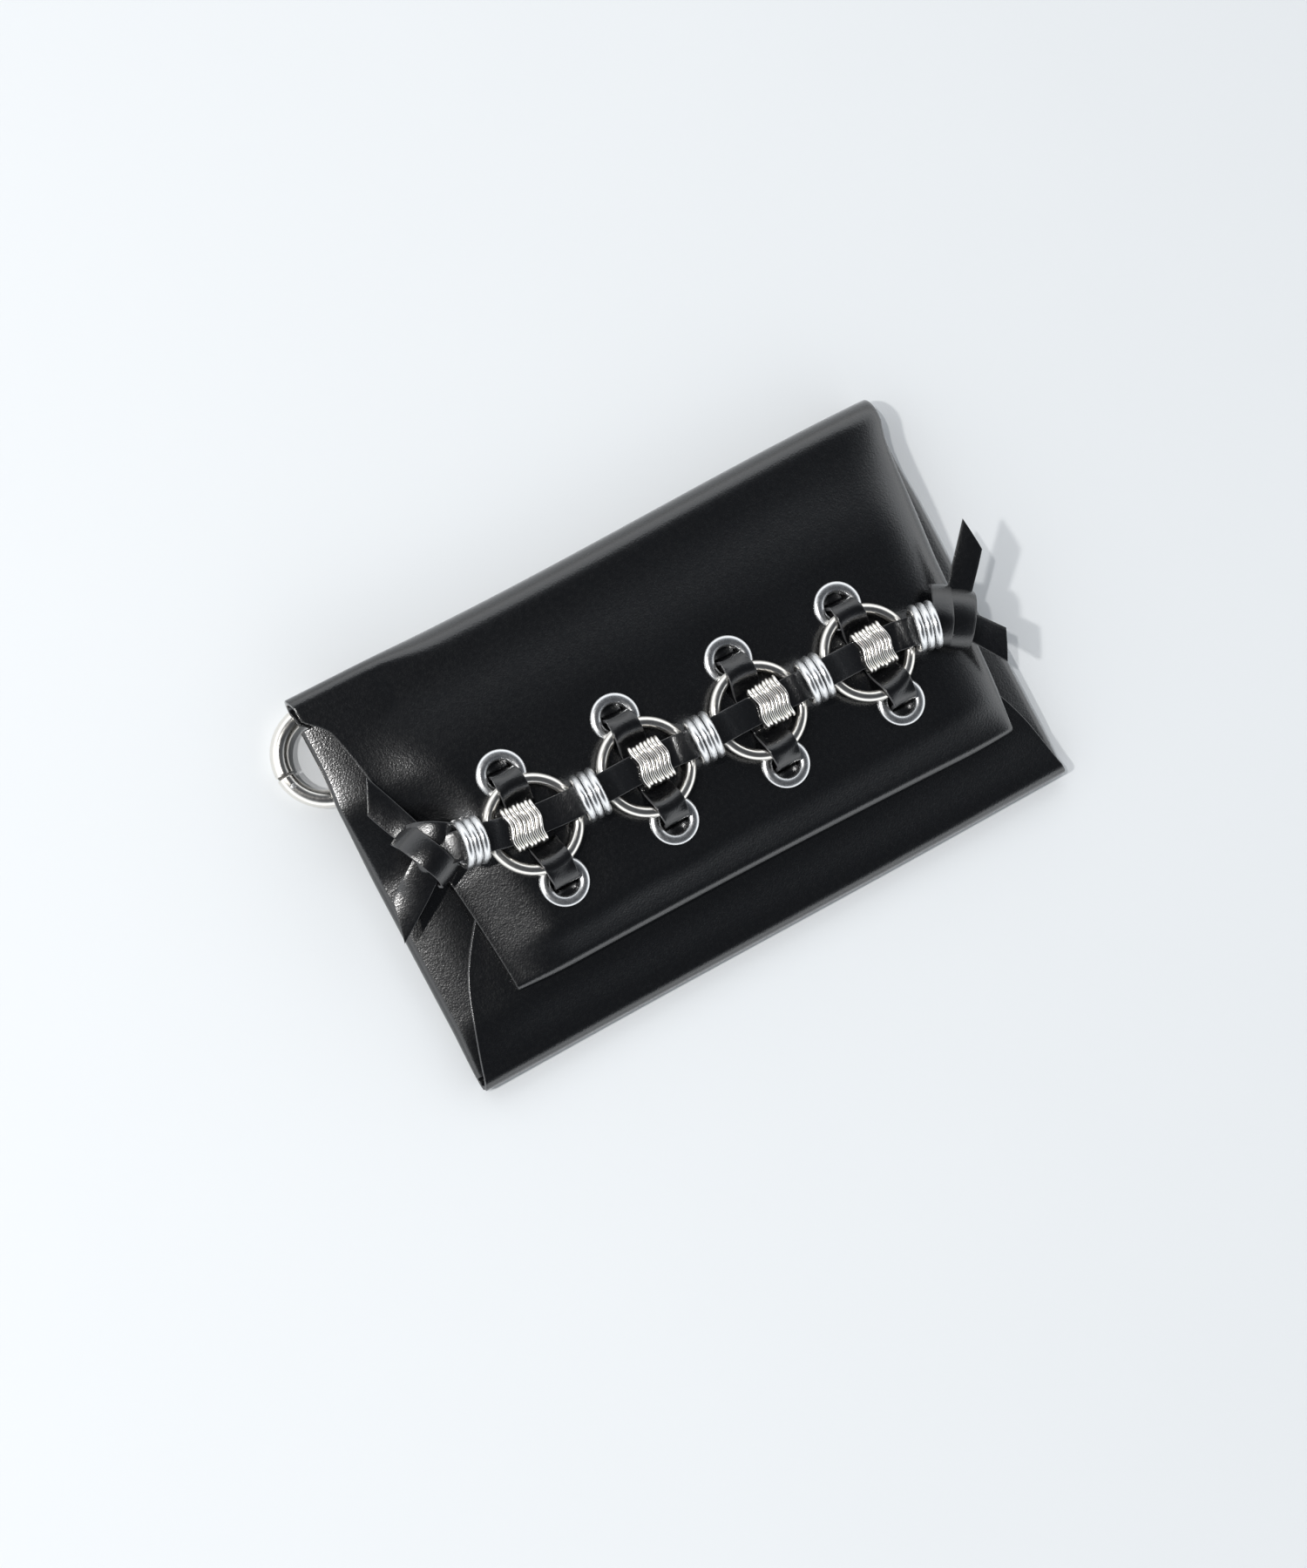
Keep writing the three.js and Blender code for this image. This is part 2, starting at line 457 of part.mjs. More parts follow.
add("right_knot", knot(78.2, -6.2, 20.6, 62, [5.4, 3.7, 3.7], [
  tail([[78.0, -1.0, 19.3], [82.6, 6.6, 20], [88.4, 14.6, 20.6], [91.0, 17.2, 21]], [[82.8, -4.2, 19.3], [86.8, 0.8, 20], [90.6, 5.4, 20.6], [92.2, 7.4, 21]]),
  tail([[83.2, -6.4, 18.6], [85.8, -9.9, 18.5], [88.9, -14.1, 18.3]], [[78.6, -11.6, 18.6], [81.6, -16.4, 18.4], [85.4, -22.2, 18]]),
]), leather());

// ---- spring-gate ring and its leather loop ----
const tiltClip = (g) => g.rotateY(-rad(CLIP.tilt)).translate(CLIP.x, CLIP.y, CLIP.z);
const H = [CLIP.r * Math.cos(rad(CLIP.pin)), CLIP.r * Math.sin(rad(CLIP.pin))];
const TIP = [CLIP.r * Math.cos(rad(CLIP.tip)), CLIP.r * Math.sin(rad(CLIP.tip))];
const tangent = [Math.sin(rad(CLIP.pin)), -Math.cos(rad(CLIP.pin))], outward = [Math.cos(rad(CLIP.pin)), Math.sin(rad(CLIP.pin))];
const chord = (() => {
  const d = [TIP[0] - H[0], TIP[1] - H[1]], l = Math.hypot(...d);
  return [d[0] / l, d[1] / l];
})();
const middle = (CLIP.pin + CLIP.tip) / 2 - 8;
// the part of a large square that satisfies every half plane normal.(p - point) > 0
function region(planes) {
  let poly = [[-40, -40], [40, -40], [40, 40], [-40, 40]];
  for (const [n, p] of planes) {
    const f = (q) => n[0] * (q[0] - p[0]) + n[1] * (q[1] - p[1]), out = [];
    poly.forEach((q, i) => {
      const r = poly[(i + 1) % poly.length], a = f(q), b = f(r);
      if (a >= 0) out.push(q);
      if (a * b < 0) out.push([lerp(q[0], r[0], a / (a - b)), lerp(q[1], r[1], a / (a - b))]);
    });
    poly = out;
  }
  return poly;
}
const along = (p, d, s) => [p[0] + d[0] * s, p[1] + d[1] * s];
const neg = (d) => [-d[0], -d[1]];
const facing = [[Math.cos(rad(middle)), Math.sin(rad(middle))], [0, 0]];
const torus = () => new THREE.TorusGeometry(CLIP.r, CLIP.wire, 10, 42);
const arcBand = (r0, r1, a0, a1, n = 12) => [
  ...steps(n, a0, a1).map((a) => [r1 * Math.cos(rad(a)), r1 * Math.sin(rad(a))]),
  ...steps(n, a1, a0).map((a) => [r0 * Math.cos(rad(a)), r0 * Math.sin(rad(a))]),
];
const pinHole = () => cylinder(0.85, -4, 4, ...H, 16);
add("ring_body", tiltClip(cut(
  torus(),
  prism(region([[neg(chord), along(TIP, chord, 0.15)], [tangent, along(H, tangent, 3.1)], facing]), -4, 4),
  prism(arcBand(8.4, CLIP.r + 1.95, CLIP.pin - 22, CLIP.pin + 36), -1.15, 1.15),
  pinHole(),
)), nickel());
add("ring_gate", tiltClip((() => {
  const sector = common(torus(), prism(region([[neg(chord), along(TIP, chord, -0.15)], [tangent, along(H, tangent, 3.4)], facing]), -4, 4));
  // the shoulder is cut back on its inner side so that the gate can swing in
  const main = cut(sector, prism([along(along(H, tangent, 3.3), outward, 2.6), along(along(H, tangent, 3.3), outward, -3.2), along(along(H, tangent, 6.4), outward, -3.2)], -4, 4));
  const lug = join(cylinder(1.6, -0.85, 0.85, ...H, 20), prism([
    along(along(H, outward, 1.6), tangent, 0), along(along(H, outward, 1.3), tangent, 5.2), along(along(H, outward, -1.9), tangent, 6.2), along(along(H, outward, -1.6), tangent, 0),
  ], -0.85, 0.85));
  return cut(join(main, lug), pinHole());
})()), nickel());
add("gate_pin", tiltClip(cylinder(0.75, -2.3, 2.3, ...H, 16)), satin());
add("gate_spring", tiltClip(prism(arcBand(10.9, 11.3, CLIP.pin + 9.5, CLIP.pin + 33, 8), -0.8, 0.8)), satin());
add("ring_loop_tab", (() => {
  const x0 = -79.2, x1 = -72.0, z0 = 0.62, z1 = 9.15, r = 0.9, path = [];
  const corner = (x, z, a0) => steps(3).forEach((a) => path.push([x + r * Math.cos(rad(a0 + 90 * a)), z + r * Math.sin(rad(a0 + 90 * a))]));
  corner(x1 - r, z0 + r, -90);
  corner(x1 - r, z1 - r, 0);
  corner(x0 + r, z1 - r, 90);
  corner(x0 + r, z0 + r, 180);
  return thick(path.map(([x, z]) => [V(x, 37.4, z), V(x, 43, z)]), 0.95, true);
})(), leather());

export default group;
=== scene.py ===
import math

import bpy
import numpy as np
from mathutils import Matrix, Vector


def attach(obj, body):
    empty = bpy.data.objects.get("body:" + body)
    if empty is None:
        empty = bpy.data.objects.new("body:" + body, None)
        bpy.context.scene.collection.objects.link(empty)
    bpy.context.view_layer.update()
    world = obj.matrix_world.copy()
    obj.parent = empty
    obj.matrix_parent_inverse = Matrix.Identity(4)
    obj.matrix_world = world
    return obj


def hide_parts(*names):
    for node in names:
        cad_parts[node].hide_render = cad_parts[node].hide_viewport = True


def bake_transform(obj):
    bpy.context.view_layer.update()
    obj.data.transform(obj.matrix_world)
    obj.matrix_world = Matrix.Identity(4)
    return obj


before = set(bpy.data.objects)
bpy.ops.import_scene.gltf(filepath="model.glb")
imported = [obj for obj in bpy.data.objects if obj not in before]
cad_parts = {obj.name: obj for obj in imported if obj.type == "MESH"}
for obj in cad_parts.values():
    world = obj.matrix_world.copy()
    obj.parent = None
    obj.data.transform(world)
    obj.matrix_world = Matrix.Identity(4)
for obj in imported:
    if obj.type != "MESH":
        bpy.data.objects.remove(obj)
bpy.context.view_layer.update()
MM = 0.001
rng = np.random.default_rng(7)

# ------------------------------------------------------------------ small maths


def sm(t):
    t = np.clip(t, 0.0, 1.0)
    return t * t * (3 - 2 * t)


def lerp(a, b, t):
    return a + (b - a) * t


def smooth_table(pairs):
    """A monotone cubic through the pairs, as a function of an array."""
    xs = np.array([p[0] for p in pairs], float)
    ys = np.array([p[1] for p in pairs], float)
    s = np.diff(ys) / np.diff(xs)
    m = np.zeros(len(xs))
    m[0], m[-1] = s[0], s[-1]
    for k in range(1, len(xs) - 1):
        m[k] = 0.0 if s[k - 1] * s[k] <= 0 else 2 * s[k - 1] * s[k] / (s[k - 1] + s[k])

    def f(x):
        x = np.clip(np.asarray(x, float), xs[0], xs[-1])
        i = np.clip(np.searchsorted(xs, x, side="right") - 1, 0, len(xs) - 2)
        h = xs[i + 1] - xs[i]
        t = (x - xs[i]) / h
        return (
            (2 * t**3 - 3 * t**2 + 1) * ys[i]
            + (t**3 - 2 * t**2 + t) * h * m[i]
            + (-2 * t**3 + 3 * t**2) * ys[i + 1]
            + (t**3 - t**2) * h * m[i + 1]
        )

    return f


def catmull(points, per=8):
    """Points on a smooth curve through the given points."""
    p = np.array(points, float)
    q = np.vstack([2 * p[0] - p[1], p, 2 * p[-1] - p[-2]])
    out = []
    for k in range(1, len(q) - 2):
        a, b, c, d = q[k - 1], q[k], q[k + 1], q[k + 2]
        for s in np.arange(per) / per:
            out.append(0.5 * (2 * b + (c - a) * s + (2 * a - 5 * b + 4 * c - d) * s**2 + (3 * b - a - 3 * c + d) * s**3))
    out.append(p[-1])
    return np.array(out)


def respaced(points, n):
    """n points at equal distances along a polyline."""
    p = np.array(points, float)
    d = np.concatenate([[0], np.cumsum(np.linalg.norm(np.diff(p, axis=0), axis=1))])
    s = np.linspace(0, d[-1], n)
    return np.stack([np.interp(s, d, p[:, k]) for k in range(p.shape[1])], 1)


def unit(v):
    return v / np.maximum(np.linalg.norm(v, axis=-1, keepdims=True), 1e-12)


def graded(a, b, fine, coarse, reach):
    """Positions from a to b, close together near both ends."""
    length, s, out = abs(b - a), 0.0, [0.0]
    while s < length / 2:
        s += lerp(fine, coarse, min(1.0, s / reach))
        out.append(s)
    half = np.array(out) / out[-1] * 0.5
    u = np.concatenate([half, 1 - half[-2::-1]])
    return a + (b - a) * u


# ------------------------------------------------------------------ materials


def material(name, base, metallic=0.0, rough=0.4, spec=0.5, coat=0.0, coat_rough=0.1, sheen=0.0):
    m = bpy.data.materials.new(name)
    m.use_nodes = True
    nt = m.node_tree
    b = nt.nodes["Principled BSDF"]
    b.inputs["Base Color"].default_value = (*base, 1)
    b.inputs["Metallic"].default_value = metallic
    b.inputs["Roughness"].default_value = rough
    b.inputs["Specular IOR Level"].default_value = spec
    b.inputs["Coat Weight"].default_value = coat
    b.inputs["Coat Roughness"].default_value = coat_rough
    b.inputs["Sheen Weight"].default_value = sheen
    return m, nt, b


def coords(nt):
    return nt.nodes.new("ShaderNodeTexCoord").outputs["Object"]


def noise(nt, vec, scale, detail=2.0, rough=0.5, distortion=0.0):
    n = nt.nodes.new("ShaderNodeTexNoise")
    n.inputs["Scale"].default_value = scale
    n.inputs["Detail"].default_value = detail
    n.inputs["Roughness"].default_value = rough
    n.inputs["Distortion"].default_value = distortion
    nt.links.new(vec, n.inputs["Vector"])
    return n.outputs["Fac"]


def voronoi(nt, vec, scale, feature="F1", rand=1.0):
    n = nt.nodes.new("ShaderNodeTexVoronoi")
    n.feature = feature
    n.inputs["Scale"].default_value = scale
    n.inputs["Randomness"].default_value = rand
    nt.links.new(vec, n.inputs["Vector"])
    return n.outputs["Distance"]


def ramp(nt, fac, lo, hi, out_lo, out_hi):
    n = nt.nodes.new("ShaderNodeMapRange")
    n.inputs["From Min"].default_value = lo
    n.inputs["From Max"].default_value = hi
    n.inputs["To Min"].default_value = out_lo
    n.inputs["To Max"].default_value = out_hi
    nt.links.new(fac, n.inputs["Value"])
    return n.outputs["Result"]


def maths(nt, op, a, b):
    n = nt.nodes.new("ShaderNodeMath")
    n.operation = op
    for k, v in enumerate((a, b)):
        if isinstance(v, (int, float)):
            n.inputs[k].default_value = v
        else:
            nt.links.new(v, n.inputs[k])
    return n.outputs[0]


def mix_colour(nt, fac, a, b):
    n = nt.nodes.new("ShaderNodeMix")
    n.data_type = "RGBA"
    nt.links.new(fac, n.inputs["Factor"])
    n.inputs["A"].default_value = (*a, 1)
    n.inputs["B"].default_value = (*b, 1)
    return n.outputs["Result"]


def bump(nt, height, strength, distance, normal=None):
    n = nt.nodes.new("ShaderNodeBump")
    n.inputs["Strength"].default_value = strength
    n.inputs["Distance"].default_value = distance
    nt.links.new(height, n.inputs["Height"])
    if normal is not None:
        nt.links.new(normal, n.inputs["Normal"])
    return n.outputs["Normal"]


def make_leather(name, base, light, rough, grain, grain_scale, coat, wave=0.25):
    m, nt, b = material(name, base, rough=rough, coat=coat, coat_rough=0.16, spec=0.62)
    v = coords(nt)
    cells = voronoi(nt, v, grain_scale)
    fine = noise(nt, v, grain_scale * 1.6, 3.0, 0.6)
    height = maths(nt, "ADD", maths(nt, "MULTIPLY", cells, 0.75), maths(nt, "MULTIPLY", fine, 0.7))
    slow = noise(nt, v, 55.0, 2.0, 0.5)
    n1 = bump(nt, slow, wave, 0.0012)
    mid = noise(nt, v, 420.0, 2.0, 0.55)
    n2 = bump(nt, mid, 0.2, 0.00005, n1)
    n3 = bump(nt, height, 1.0, grain, n2)
    nt.links.new(n3, b.inputs["Normal"])
    nt.links.new(n3, b.inputs["Coat Normal"])
    patch = noise(nt, v, 90.0, 3.0, 0.6)
    nt.links.new(mix_colour(nt, patch, base, light), b.inputs["Base Color"])
    nt.links.new(ramp(nt, noise(nt, v, 900.0, 2.0, 0.6), 0.3, 0.7, rough - 0.03, rough + 0.04), b.inputs["Roughness"])
    return m


LEATHER = make_leather("black_leather_gloss", (0.0015, 0.0017, 0.0022), (0.003, 0.0033, 0.004), 0.25, 0.000032, 1900.0, 0.8, wave=0.06)
LACE = make_leather("lace_leather_gloss", (0.0018, 0.002, 0.0026), (0.004, 0.0042, 0.005), 0.24, 0.00003, 2200.0, 0.6, wave=0.2)

EDGE, _nt, _b = material("cut_edge", (0.05, 0.05, 0.052), rough=0.5, spec=0.5)
_v = coords(_nt)
_nt.links.new(mix_colour(_nt, noise(_nt, _v, 1500.0, 4.0, 0.7), (0.018, 0.018, 0.02), (0.14, 0.14, 0.145)), _b.inputs["Base Color"])
_nt.links.new(bump(_nt, noise(_nt, _v, 3200.0, 4.0, 0.7), 0.8, 0.00004), _b.inputs["Normal"])

LINING, _nt, _b = material("lining_flesh_side", (0.012, 0.011, 0.012), rough=0.75, spec=0.3, sheen=0.25)
_v = coords(_nt)
_nt.links.new(mix_colour(_nt, noise(_nt, _v, 300.0, 5.0, 0.65), (0.008, 0.0078, 0.0085), (0.024, 0.023, 0.025)), _b.inputs["Base Color"])
_nt.links.new(bump(_nt, noise(_nt, _v, 2200.0, 5.0, 0.7), 0.8, 0.00006, bump(_nt, noise(_nt, _v, 260.0, 3.0, 0.6), 0.4, 0.0002)), _b.inputs["Normal"])
_b.inputs["Sheen Roughness"].default_value = 0.5


def make_metal(name, base, dark, rough, spread, wobble, fine):
    m, nt, b = material(name, base, metallic=1.0, rough=rough)
    v = coords(nt)
    nt.links.new(mix_colour(nt, noise(nt, v, 350.0, 3.0, 0.6), dark, base), b.inputs["Base Color"])
    nt.links.new(ramp(nt, noise(nt, v, 1100.0, 3.0, 0.65), 0.3, 0.7, rough - spread, rough + spread), b.inputs["Roughness"])
    n1 = bump(nt, noise(nt, v, 160.0, 2.0, 0.5), wobble, 0.0003)
    n2 = bump(nt, noise(nt, v, 2600.0, 3.0, 0.6), fine, 0.00001, n1)
    nt.links.new(n2, b.inputs["Normal"])
    return m


NICKEL = make_metal("nickel_plate", (0.88, 0.85, 0.80), (0.83, 0.80, 0.75), 0.21, 0.03, 0.05, 0.1)
NICKEL_WIRE = make_metal("nickel_wire", (0.88, 0.855, 0.82), (0.82, 0.80, 0.76), 0.17, 0.03, 0.04, 0.08)
SATIN = make_metal("satin_steel", (0.80, 0.805, 0.81), (0.72, 0.725, 0.73), 0.27, 0.03, 0.06, 0.15)

# ------------------------------------------------------------------ mesh making


def new_object(name, verts, faces, mats, slots=None, sharp=42.0):
    me = bpy.data.meshes.new(name)
    me.from_pydata((np.asarray(verts, float) * MM).tolist(), [], [list(map(int, f)) for f in faces])
    for m in mats:
        me.materials.append(m)
    me.polygons.foreach_set("use_smooth", np.ones(len(me.polygons), bool))
    if slots is not None:
        me.polygons.foreach_set("material_index", np.asarray(slots, np.int32))
    me.update()
    me.set_sharp_from_angle(angle=math.radians(sharp))
    o = bpy.data.objects.new(name, me)
    bpy.context.scene.collection.objects.link(o)
    return o


def leather_sheet(mid, t, bevel=0.25, cap=None, closed=False, removed=None):
    """Vertices, faces and material numbers of a sheet of thickness t about a grid of middle points.
    cap(a, b) is true for boundary edges that butt against a neighbour; the other edges are rounded."""
    nu, nv = mid.shape[:2]
    t = np.broadcast_to(np.asarray(t, float), (nu, nv))
    du = np.roll(mid, -1, 0) - np.roll(mid, 1, 0)
    if not closed:
        du[0], du[-1] = mid[1] - mid[0], mid[-1] - mid[-2]
    dv = np.empty_like(mid)
    dv[:, 1:-1] = mid[:, 2:] - mid[:, :-2]
    dv[:, 0], dv[:, -1] = mid[:, 1] - mid[:, 0], mid[:, -1] - mid[:, -2]
    n = unit(np.cross(du, dv))
    top, bot = mid + n * t[..., None] / 2, mid - n * t[..., None] / 2
    if closed:
        loops = [[(i, 0) for i in range(nu)], [(i, nv - 1) for i in reversed(range(nu))]]
    else:
        loops = [
            [(i, 0) for i in range(nu)] + [(nu - 1, j) for j in range(1, nv)] + [(i, nv - 1) for i in range(nu - 2, -1, -1)] + [(0, j) for j in range(nv - 2, 0, -1)]
        ]
    ids_top = lambda i, j: (i % nu) * nv + j
    ids_bot = lambda i, j: nu * nv + (i % nu) * nv + j
    extra, sides, faces, slots = [], {}, [], []
    for loop in loops:
        m = len(loop)
        kind = [bool(cap(loop[k], loop[(k + 1) % m])) if cap else False for k in range(m)]
        out = []
        for k in range(m):
            a, b = loop[k], loop[(k + 1) % m]
            out.append(unit(np.cross(unit(mid[b] - mid[a]), n[a])))
        for k in range(m):
            a = loop[k]
            os_ = [out[q] for q in (k - 1, k) if not kind[q]]
            i, j = a
            if not os_:
                sides[(id(loop), k)] = [ids_top(i, j), ids_bot(i, j)]
                continue
            o = os_[0] if len(os_) == 1 else (os_[0] + os_[1]) / max(0.6, 1 + float(os_[0] @ os_[1]))
            inner = []
            for di, dj in ((1, 0), (-1, 0), (0, 1), (0, -1)):
                p = ((i + di) % nu if closed else i + di, j + dj)
                if 0 <= p[0] < nu and 0 <= p[1] < nv and (p[0], p[1]) not in (loop[k - 1], loop[(k + 1) % m]):
                    inner.append(np.linalg.norm(mid[p] - mid[a]))
            bb = min(bevel, 0.45 * min(inner) if inner else bevel, 0.47 * t[a])
            if not inner:  # a corner
                bb = min(bevel, 0.45 * min(np.linalg.norm(mid[loop[k - 1]] - mid[a]), np.linalg.norm(mid[loop[(k + 1) % m]] - mid[a])), 0.47 * t[a])
            top[a] -= o * bb
            bot[a] -= o * bb
            ring = [ids_top(i, j)]
            for sgn, angles in ((1, (60, 30, 0)), (-1, (0, 30, 60))):
                for al in angles:
                    r = math.radians(al)
                    extra.append(mid[a] + sgn * n[a] * (t[a] / 2 - bb + bb * math.sin(r)) - o * bb * (1 - math.cos(r)))
                    ring.append(2 * nu * nv + len(extra) - 1)
            ring.append(ids_bot(i, j))
            sides[(id(loop), k)] = ring
        for k in range(m):
            sa, sb = sides[(id(loop), k)], sides[(id(loop), (k + 1) % m)]
            if kind[k]:
                faces.append(sa + sb[::-1])
                slots.append(0)
            else:
                if len(sa) != len(sb):
                    raise ValueError("a rounded edge next to a butt end")
                for q in range(len(sa) - 1):
                    faces.append([sa[q], sa[q + 1], sb[q + 1], sb[q]])
                    slots.append(1 if q in (2, 3, 4) else 0)
    cu = nu if closed else nu - 1
    ii, jj = np.meshgrid(np.arange(cu), np.arange(nv - 1), indexing="ij")
    keep = np.ones((cu, nv - 1), bool) if removed is None else ~removed(mid)
    ii, jj = ii[keep], jj[keep]
    i2 = (ii + 1) % nu
    quads = np.stack([ii * nv + jj, i2 * nv + jj, i2 * nv + jj + 1, ii * nv + jj + 1], 1)
    below = quads[:, ::-1] + nu * nv
    if removed is not None:
        for i in range(cu):
            for j in range(nv - 1):
                if not keep[i, j]:
                    continue
                for (a, b), (p, q) in ((((i, j), (i + 1, j)), (i, j - 1)), (((i + 1, j), (i + 1, j + 1)), (i + 1, j)), (((i + 1, j + 1), (i, j + 1)), (i, j + 1)), (((i, j + 1), (i, j)), (i - 1, j))):
                    if 0 <= p < cu and 0 <= q < nv - 1 and not keep[p, q]:
                        faces.append([ids_top(*a), ids_bot(*a), ids_bot(*b), ids_top(*b)])
                        slots.append(1)
    verts = np.vstack([top.reshape(-1, 3), bot.reshape(-1, 3)] + ([np.array(extra)] if extra else []))
    allf = [*quads.tolist(), *below.tolist(), *faces]
    alls = [0] * (2 * len(quads)) + slots
    if removed is not None:  # points inside the holes belong to no face
        used = np.zeros(len(verts), bool)
        for f in allf:
            used[f] = True
        new = np.cumsum(used) - 1
        verts = verts[used]
        allf = [[int(new[k]) for k in f] for f in allf]
    return verts, allf, alls


def sheet_object(name, mid, t, mats, **kw):
    v, f, s = leather_sheet(np.asarray(mid, float), t, **kw)
    return new_object(name, v, f, mats, s)


def merged(parts):
    """Several (vertices, faces, slots) as one."""
    vs, fs, ss, k = [], [], [], 0
    for v, f, s in parts:
        vs.append(np.asarray(v, float))
        fs += [[q + k for q in face] for face in f]
        ss += list(s)
        k += len(v)
    return np.vstack(vs), fs, ss


def tube(path, radius, sides=12, closed=True, up=None, flat=None):
    """A round wire along a path of points; flat gives (across, high) radii."""
    p = np.asarray(path, float)
    n = len(p)
    if closed:
        tan = unit(np.roll(p, -1, 0) - np.roll(p, 1, 0))
    else:
        tan = unit(np.gradient(p, axis=0))
    up = np.array([0, 0, 1.0]) if up is None else np.asarray(up, float)
    side = np.empty_like(p)
    ref = np.cross(tan[0], up)
    if np.linalg.norm(ref) < 1e-3:
        ref = np.cross(tan[0], [1.0, 0, 0])
    side[0] = unit(ref)
    for k in range(1, n):
        s = side[k - 1] - tan[k] * (side[k - 1] @ tan[k])
        side[k] = unit(s)
    if closed:  # spread the twist that is left over the whole loop
        s = side[-1] - tan[0] * (side[-1] @ tan[0])
        a = math.atan2(float(np.cross(unit(s), side[0]) @ tan[0]), float(unit(s) @ side[0]))
        for k in range(n):
            w = a * k / n
            side[k] = side[k] * math.cos(w) + np.cross(tan[k], side[k]) * math.sin(w)
    nor = np.cross(tan, side)
    ang = 2 * math.pi * np.arange(sides) / sides
    ra = np.broadcast_to(np.asarray(radius, float), (n,))
    fa, fh = (1, 1) if flat is None else flat
    v = p[:, None] + ra[:, None, None] * (side[:, None] * np.cos(ang)[None, :, None] * fa + nor[:, None] * np.sin(ang)[None, :, None] * fh)
    faces = []
    for i in range(n if closed else n - 1):
        a, b = i * sides, ((i + 1) % n) * sides
        for k in range(sides):
            q = (k + 1) % sides
            faces.append([a + k, b + k, b + q, a + q])
    v = v.reshape(-1, 3)
    # the faces look outwards
    c = v[faces[0]].mean(0) - p[0]
    nn = np.cross(v[faces[0][1]] - v[faces[0][0]], v[faces[0][2]] - v[faces[0][0]])
    if nn @ c < 0:
        faces = [f[::-1] for f in faces]
    if not closed:
        first, last = list(range(sides)), list(range((n - 1) * sides, n * sides))
        fn = np.cross(v[first[1]] - v[first[0]], v[first[2]] - v[first[0]])
        faces.append(first if fn @ tan[0] < 0 else first[::-1])
        ln = np.cross(v[last[1]] - v[last[0]], v[last[2]] - v[last[0]])
        faces.append(last if ln @ tan[-1] > 0 else last[::-1])
    return v, faces, [0] * len(faces)


def lathe(profile, segments=64):
    """A closed profile of (radius, height) turned about Z; points at radius 0 become one point."""
    ids, verts, faces = [], [], []
    for r, z in profile:
        if r < 1e-6:
            ids.append([len(verts)] * segments)
            verts.append((0, 0, z))
        else:
            ids.append(list(range(len(verts), len(verts) + segments)))
            for k in range(segments):
                a = 2 * math.pi * k / segments
                verts.append((r * math.cos(a), r * math.sin(a), z))
    m = len(profile)
    for i in range(m):
        a, b = ids[i], ids[(i + 1) % m]
        if profile[i][0] < 1e-6 and profile[(i + 1) % m][0] < 1e-6:
            continue
        for k in range(segments):
            q = (k + 1) % segments
            f = []
            for w in (a[k], a[q], b[q], b[k]):
                if w not in f:
                    f.append(w)
            if len(f) > 2:
                faces.append(f)
    verts = np.array(verts, float)
    vol = 0.0
    for f in faces:
        for k in range(1, len(f) - 1):
            vol += verts[f[0]] @ np.cross(verts[f[k]], verts[f[k + 1]])
    if vol < 0:
        faces = [f[::-1] for f in faces]
    return verts, faces, [0] * len(faces)


def rounded(profile, radius, steps=4):
    """A closed profile with each corner rounded."""
    p = np.array(profile, float)
    out = []
    for k in range(len(p)):
        a, b, c = p[k - 1], p[k], p[(k + 1) % len(p)]
        if b[0] < 1e-6:
            out.append(tuple(b))
            continue
        da, dc = a - b, c - b
        la, lc = np.linalg.norm(da), np.linalg.norm(dc)
        r = min(radius, 0.45 * la, 0.45 * lc)
        s, e = b + da / la * r, b + dc / lc * r
        for q in np.linspace(0, 1, steps + 1):
            out.append(tuple((1 - q) ** 2 * s + 2 * q * (1 - q) * b + q * q * e))
    return out


def ribbon(centre, across, width, t=1.1, cols=7, bevel=0.2, crown=0.0):
    """A flat strap along centre points, with a unit vector across it at each point."""
    centre, across = np.asarray(centre, float), unit(np.asarray(across, float))
    tan = unit(np.gradient(centre, axis=0))
    nor = unit(np.cross(tan, across))
    w = np.broadcast_to(np.asarray(width, float), (len(centre),))
    q = np.linspace(-0.5, 0.5, cols)
    mid = centre[:, None] + across[:, None] * (w[:, None] * q[None])[..., None] + nor[:, None] * (crown * (1 - (2 * q) ** 2))[None, :, None]
    return leather_sheet(mid, t, bevel=bevel)


def plate(left, right, n=26, cols=9, t=1.1, bevel=0.18, bow=0.0):
    """A flat tail between two edge lines."""
    a, b = respaced(catmull(left, 6), n), respaced(catmull(right, 6), n)
    q = np.linspace(0, 1, cols)
    mid = a[:, None] * (1 - q)[None, :, None] + b[:, None] * q[None, :, None]
    mid[..., 2] += bow * (1 - (2 * q - 1) ** 2)[None]
    return leather_sheet(mid, t, bevel=bevel)


def turned(v, *moves):
    """Vertices turned about axes through the origin ("X", degrees) and then moved (x, y, z), in order."""
    v = np.asarray(v, float)
    for mv in moves:
        if isinstance(mv[0], str):
            r = np.array(Matrix.Rotation(math.radians(mv[1]), 3, mv[0]))
            v = v @ r.T
        else:
            v = v + np.array(mv, float)
    return v


# ------------------------------------------------------------------ shape of the body
lift = lambda x, y: 6.8 * sm((-48 - x) / 22) * sm((y - 2) / 24)
lift6 = lambda x, y: 0.6 * lift(x, y)
slope = lambda y: 2.75 * sm((-37 - y) / 16)
soft = lambda x, y: 0.5 * np.sin(x * 0.071 + 0.6 + 0.5 * np.sin(y * 0.05)) * np.sin(y * 0.093 + 1.1) + 0.5 * np.sin(x * 0.033 - y * 0.045 + 2.0)

